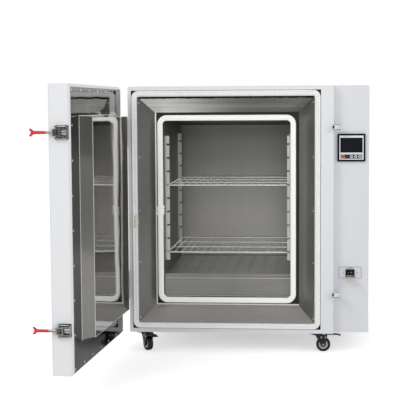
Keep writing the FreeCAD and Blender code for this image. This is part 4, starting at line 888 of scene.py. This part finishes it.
def keyMarks():
    turns = {1: None, 3: 0, 4: 180, 5: 90}
    dot, arrow = {"radius": 0.0031, "depth": 0.0006}, {"radius": 0.0038, "depth": 0.0006}
    for number, turn in turns.items():
        low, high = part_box("controller_key_%d" % number)
        middle = ((low.x + high.x) / 2, low.y, (low.z + high.z) / 2)
        startPiece("keyMark%d" % number)
        if turn is None:
            addRod(middle, dot["radius"], dot["depth"], "y", 20)
            mark = endPiece()
        else:
            bpy.ops.mesh.primitive_cylinder_add(radius=arrow["radius"], depth=arrow["depth"], vertices=3)
            mark = endPiece()
            spin = Matrix.Rotation(math.radians(turn), 4, "Y")
            mark.data.transform(Matrix.Translation(middle) @ spin @ standUp)
        rounded(mark, 0.0001, 1)
        dressed(mark, "blackPlastic", "key_%d" % number)


def switchFittings():
    low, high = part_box("power_switch_plate")
    rockerLow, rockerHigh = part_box("power_rocker")
    middleX, middleZ = (low.x + high.x) / 2, (low.z + high.z) / 2
    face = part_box("control_front")[0].y - 0.002
    # Painted shade: a grey frame round the switch plate paints the shade along its edge.
    outer = (low.x - 0.0008, high.x + 0.0008, low.z - 0.0008, high.z + 0.0008)
    inner = (low.x + 0.0007, high.x - 0.0007, low.z + 0.0007, high.z - 0.0007)
    edge = framePlate("switchPlateEdge", outer, (inner,), face + 0.002, face - 0.0002, 0.0003)
    dressed(edge, "edgeGrey", "cabinet")
    places = [((middleX + side * 0.0232, face, middleZ + 0.0005), (0, -1, 0)) for side in (-1, 1)]
    scattered("switchScrews", smallScrew, places, "screwSteel", "cabinet")
    # Painted shade: a grey block at the top of the plate paints the dark of the small notch there.
    notchShade = {"half": 0.009, "proud": 0.0012, "bottom": 0.0042, "top": 0.0012, "rounding": 0.0005}
    notchShadeLow = (middleX - notchShade["half"], face - notchShade["proud"], high.z - notchShade["bottom"])
    notchShadeHigh = (middleX + notchShade["half"], face, high.z - notchShade["top"])
    notchShadePiece = blockPiece("coverNotchShade", notchShadeLow, notchShadeHigh, notchShade["rounding"])
    dressed(notchShadePiece, "edgeGrey", "cabinet")
    bezel = (rockerLow.x - 0.0037, rockerHigh.x + 0.0037, rockerLow.z - 0.0028, rockerHigh.z + 0.0022)
    hole = (rockerLow.x - 0.0003, rockerHigh.x + 0.0003, rockerLow.z - 0.0003, rockerHigh.z + 0.0003)
    surround = framePlate("rockerBezel", bezel, (hole,), low.y + 0.0003, low.y - 0.0009, 0.0006)
    dressed(surround, "blackPlastic", "cabinet")
    tilt = 8.0
    offMark = blockPiece("rockerMarks", (-0.0061, -0.0003, -0.0026), (-0.0051, 0.0003, 0.0026))
    startPiece("rockerRing")
    addRing((0.0052, 0, 0), 0.0023, 0.0005, "y", 24, 8)
    ring = endPiece()
    marks = joined("rockerMarks", [offMark, ring])
    middle = ((rockerLow.x + rockerHigh.x) / 2, rockerLow.y + 0.0014, (rockerLow.z + rockerHigh.z) / 2)
    marks.data.transform(Matrix.Translation(middle) @ Matrix.Rotation(math.radians(-tilt), 4, "Z"))
    dressed(marks, "markWhite", "rocker")


controllerFace()
keyMarks()
switchFittings()
print("controller and switch dressed")


# Latches on the free edge of the door, and their keepers on the block

def onDoor(place):
    return doorTurn @ Vector(place)


def latchTrim():
    low, high = shutBox("latch_bases")
    face = low.x + 0.002
    edge, rise = 0.0075, 0.0150
    # Painted reflection: black discs round the latch bolts paint the dark reflection bands on the chrome
    # latch flanges.
    darkBandDisc = {"radius": 0.0047, "depth": 0.0006}
    outward = doorTurn.to_3x3() @ Vector((1, 0, 0))
    spots, darkBandDiscs, straps = [], [], []
    for level in ("lower", "upper"):
        gripLow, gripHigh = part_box("latch_grip_" + level)
        z = (gripLow.z + gripHigh.z) / 2
        for y in (low.y + edge, (low.y + high.y) / 2 + 0.002, high.y - edge):
            for side in (-1, 1):
                spots.append((onDoor((face + 0.0006, y, z + side * rise)), outward))
                spot = (face + darkBandDisc["depth"] / 2, y, z + side * rise)
                darkBandDiscs.append(rodPiece("latchDarkBandDisc", spot, darkBandDisc["radius"], darkBandDisc["depth"], "x", 20))
        # Painted highlight: the strap pieces on each latch take the near-white finish, which paints the
        # bright reflection bands on its chrome.
        startPiece("latchStrapHighlight")
        addBlock((face, low.y + 0.0130, z + 0.0012), (face + 0.0036, high.y - 0.0012, z + 0.0072), 0.0008)
        addBlock((face, low.y + 0.0100, z - 0.0066), (face + 0.0022, high.y - 0.0060, z - 0.0018), 0.0006)
        addRod((face + 0.0036, high.y - 0.0080, z + 0.0042), 0.0026, 0.0016, "x", 18)
        straps.append(endPiece())
    kinds = (("latchDarkBandDiscs", darkBandDiscs, "blackPlastic"), ("latchStrapHighlights", straps, "latchBright"))
    for name, pieces, finish in kinds:
        piece = joined(name, pieces)
        piece.data.transform(doorTurn)
        dressed(piece, finish, "door")
    scattered("latchBolts", smallScrew, spots, "latchBright", "door")


def keeperTrim():
    low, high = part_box("door_keepers")
    half, lip = 0.009, 0.0018
    hook = {"proud": 0.0014, "rounding": 0.0006}
    edges, hooks = [], []
    # Painted shade: grey strips along the top and bottom edges of each keeper paint the shade along its
    # flanges.
    for z in (low.z + half, high.z - half):
        for side in (-1, 1):
            bottom, top = sorted((z + side * half, z + side * (half - lip)))
            edgeLow, edgeHigh = (low.x + 0.0008, low.y - 0.0002, bottom), (high.x, low.y + 0.0010, top)
            edges.append(blockPiece("keeperEdge", edgeLow, edgeHigh, 0.0001))
        startPiece("keeperHook")
        x, y = low.x, low.y - hook["proud"]
        addBlock((x - 0.0003, y, z - 0.0052), (x + 0.0040, low.y + 0.0010, z + 0.0052), hook["rounding"])
        addBlock((x + 0.0030, y, z - 0.0016), (x + 0.0066, low.y + 0.0006, z + 0.0030), hook["rounding"])
        hooks.append(endPiece())
    dressed(joined("keeperEdges", edges), "hookGrey", "cabinet")
    dressed(joined("keeperHooks", hooks), "blackPlastic", "cabinet")


def hingeScrews():
    low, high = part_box("cabinet_hinges")
    spots = []
    for bottom in (low.z, high.z - 0.098):
        for rise in (0.016, 0.049, 0.082):
            spots.append(((high.x - 0.0030, high.y - 0.0120, bottom + rise), (-1, 0, 0)))
    scattered("hingeScrews", sheetScrew, spots, "darkHinge", "cabinet")


# Painted highlight: thin bright rods along the plug's folded edges paint the highlight lines on those folds.
def plugHemHighlights():
    low, high = shutBox("door_plug")
    foot, taper, wire = 0.008, 0.007, 0.0008
    hems = []
    for inset, y in ((foot, low.y + 0.0012), (foot + taper, high.y - 0.0002)):
        x0, x1 = low.x + inset, high.x - inset
        z0, z1 = low.z + inset, high.z - inset
        for x in (x0, x1):
            hems.append(rodPiece("plugHemHighlight", (x, y, (z0 + z1) / 2), wire, z1 - z0, "z", 10))
        for z in (z0, z1):
            hems.append(rodPiece("plugHemHighlight", ((x0 + x1) / 2, y, z), wire, x1 - x0, "x", 10))
    piece = joined("plugHemHighlights", hems)
    piece.data.transform(doorTurn)
    dressed(piece, "lipSteel", "door")


# Painted highlight: thin bright rods across the slotted floor's front paint the highlight lines along its
# folded edges.
def floorHemHighlights():
    low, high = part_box("slotted_floor")
    startPiece("floorHemHighlights")
    for z in (high.z - 0.0146, low.z + 0.0022):
        addRod(((low.x + high.x) / 2, low.y, z), 0.0008, high.x - low.x - 0.0004, "x", 10)
    dressed(endPiece(), "lipSteel", "cabinet")


latchTrim()
keeperTrim()
hingeScrews()
plugHemHighlights()
floorHemHighlights()
print("latches, keepers and hems dressed")


# Casters

def casterTrim():
    ring = {"radius": 0.0138, "wire": 0.0024, "innerRadius": 0.0098, "innerWire": 0.0009}
    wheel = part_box("caster_wheel_front_right")
    half = (wheel[1].y - wheel[0].y) / 2
    cheekFace, capFace, groove = half + 0.004, half + 0.0065, half - 0.0022
    wheels = [joint for joint in frame["joints"] if joint["name"].startswith("roll_")]
    for joint in wheels:
        corner = joint["name"][len("roll_"):]
        hub, axle = Vector(joint["pos_m"]), Vector(joint["axis"]).normalized()
        pivot = next(turn for turn in frame["joints"] if turn["name"] == "swivel_" + corner)
        back = Vector((hub.x - pivot["pos_m"][0], hub.y - pivot["pos_m"][1], 0)).normalized()
        rings, bolts = [], []
        for side in (-1, 1):
            out = axle * side
            # Painted highlight: pale flattened rings on both faces of each wheel paint the bright highlight
            # in the hub's groove.
            startPiece("hubRingHighlight")
            addRing((0, 0, 0), ring["radius"], ring["wire"], "z", 36, 8)
            addRing((0, 0, 0.0002), ring["innerRadius"], ring["innerWire"], "z", 30, 6)
            disc = endPiece()
            flat = Matrix.Diagonal((1, 1, 0.5, 1))
            disc.data.transform(Matrix.Translation(hub + out * groove) @ facing(out) @ flat)
            rings.append(disc)
            bolts.append((hub + out * capFace, out))
            for along, rise in ((-0.007, 0.026), (0.0075, 0.026)):
                bolts.append((hub + out * cheekFace + back * along + Vector((0, 0, rise)), out))
        dressed(joined("hubRings_" + corner, rings), "hubGrey", "wheel_" + corner)
        scattered("forkBolts_" + corner, sheetScrew, bolts, "screwSteel", "fork_" + corner)
    bolts = []
    spread, under = 0.0225, 0.0695
    for joint in frame["joints"]:
        if joint["name"].startswith("swivel_"):
            x, y = joint["pos_m"][:2]
            bolts += [((x + right * spread, y + rear * spread, under), (0, 0, -1))
                      for right in (-1, 1) for rear in (-1, 1)]
    scattered("plateBolts", plateBolt, bolts, "screwSteel", "cabinet")


casterTrim()
print("casters dressed")


# Back of the cabinet

def backScrews():
    panelLow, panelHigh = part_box("rear_panel")
    coverLow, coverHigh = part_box("motor_cover")
    pipeLow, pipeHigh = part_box("exhaust_pipe")
    face, inset, pitch = panelHigh.y, 0.009, 0.14
    flange = {"circle": 0.033, "proud": 0.002}
    spots = []
    for low, high, level in ((panelLow, panelHigh, face), (coverLow, coverHigh, face + 0.0015)):
        left, right = low.x + inset, high.x - inset
        bottom, top = low.z + inset, high.z - inset
        across, upright = round((right - left) / pitch), round((top - bottom) / pitch)
        for step in range(across):
            spots.append(((left + (right - left) * step / across, level, bottom), (0, 1, 0)))
            spots.append(((right - (right - left) * step / across, level, top), (0, 1, 0)))
        for step in range(upright):
            spots.append(((right, level, bottom + (top - bottom) * step / upright), (0, 1, 0)))
            spots.append(((left, level, top - (top - bottom) * step / upright), (0, 1, 0)))
    centre = (pipeLow + pipeHigh) / 2
    for turn in (45, 135, 225, 315):
        angle = math.radians(turn)
        x = centre.x + flange["circle"] * math.cos(angle)
        z = centre.z + flange["circle"] * math.sin(angle)
        spots.append(((x, face + flange["proud"], z), (0, 1, 0)))
    scattered("backScrews", sheetScrew, spots, "screwSteel", "cabinet")


backScrews()
print("back dressed")


for pattern in (smallScrew, sheetScrew, plateBolt):
    bpy.data.objects.remove(pattern)
print("patterns put away")


# Camera, floor and light

camera = {"place": (0.2204, -4.4868, 0.8611), "yaw": -5.0, "pitch": -4.83, "roll": -0.33,
          "focalPixels": 1188.7, "imagePixels": 416, "sensor": 36.0}
yaw, pitch, roll = (math.radians(camera[key]) for key in ("yaw", "pitch", "roll"))
ahead = Vector((math.sin(yaw) * math.cos(pitch), math.cos(yaw) * math.cos(pitch), math.sin(pitch)))
level = Vector((math.cos(yaw), -math.sin(yaw), 0))
above = level.cross(ahead)
right = level * math.cos(roll) + above * math.sin(roll)
up = above * math.cos(roll) - level * math.sin(roll)
bpy.ops.object.camera_add()
lens = bpy.context.object
lens.name = "studioCamera"
lens.matrix_world = Matrix.Translation(camera["place"]) @ Matrix((right, up, -ahead)).transposed().to_4x4()
lens.data.sensor_width = camera["sensor"]
lens.data.lens = camera["focalPixels"] / camera["imagePixels"] * camera["sensor"]
bpy.context.scene.camera = lens

bpy.context.scene.view_settings.view_transform = "Standard"

room = {"fill": 0.6, "front": 0.3, "back": 1.0, "turnStart": -0.35, "turnEnd": 0.35}
world = bpy.data.worlds.new("studioRoom")
bpy.context.scene.world = world
world.use_nodes = True
graph = Graph(world.node_tree)
toward = graph.part(graph.node("TexCoord", out="Generated"), 1)
behind = graph.node("MapRange", {"interpolation_type": "SMOOTHSTEP"},
                    {0: toward, 1: room["turnStart"], 2: room["turnEnd"], 3: room["front"], 4: room["back"]})
seen = graph.node("LightPath", out="Is Camera Ray")
mirrored = graph.node("LightPath", out="Is Glossy Ray")
notMirrored = (1.0 - seen) * (1.0 - mirrored)
strength = seen + (1.0 - seen) * mirrored * behind + notMirrored * room["fill"]
graph.feed(world.node_tree.nodes["Background"].inputs["Strength"], strength)
world.node_tree.nodes["Background"].inputs["Color"].default_value = (1, 1, 1, 1)

floor = {"size": 40.0, "colour": "f4f4f4", "glow": 0.5}
bpy.ops.mesh.primitive_plane_add(size=floor["size"])
ground = bpy.context.object
ground.name = "studioFloor"
ground.data.materials.append(bpy.data.materials.new("floorWhite"))
ground.active_material.use_nodes = True
graph = Graph(ground.active_material.node_tree)
shader = ground.active_material.node_tree.nodes["Principled BSDF"]
shader.inputs["Base Color"].default_value = tint(floor["colour"])
shader.inputs["Roughness"].default_value = 0.9
shader.inputs["Specular IOR Level"].default_value = 0.0
shader.inputs["Emission Color"].default_value = (1, 1, 1, 1)
seen = graph.node("LightPath", out="Is Camera Ray")
graph.feed(shader.inputs["Emission Strength"], seen * floor["glow"])

lamps = {
    "keyLamp": {"place": (-2.2, -3.4, 3.2), "aim": (0, 0, 0.6), "size": (1.6, 1.6), "power": 46},
    "sideLamp": {"place": (2.8, -3.2, 2.2), "aim": (0, 0, 0.5), "size": (1.4, 1.8), "power": 30},
    "frontLamp": {"place": (0.3, -4.6, 1.7), "aim": (-0.08, 0, 0.45), "size": (1.2, 1.0), "power": 13},
}
for name, lamp in lamps.items():
    bpy.ops.object.light_add(type="AREA", location=lamp["place"])
    light = bpy.context.object
    light.name = name
    light.data.shape = "RECTANGLE"
    light.data.size, light.data.size_y = lamp["size"]
    light.data.energy = lamp["power"]
    light.rotation_euler = (Vector(lamp["aim"]) - light.location).to_track_quat("-Z", "Y").to_euler()
print("camera, room and lamps set")
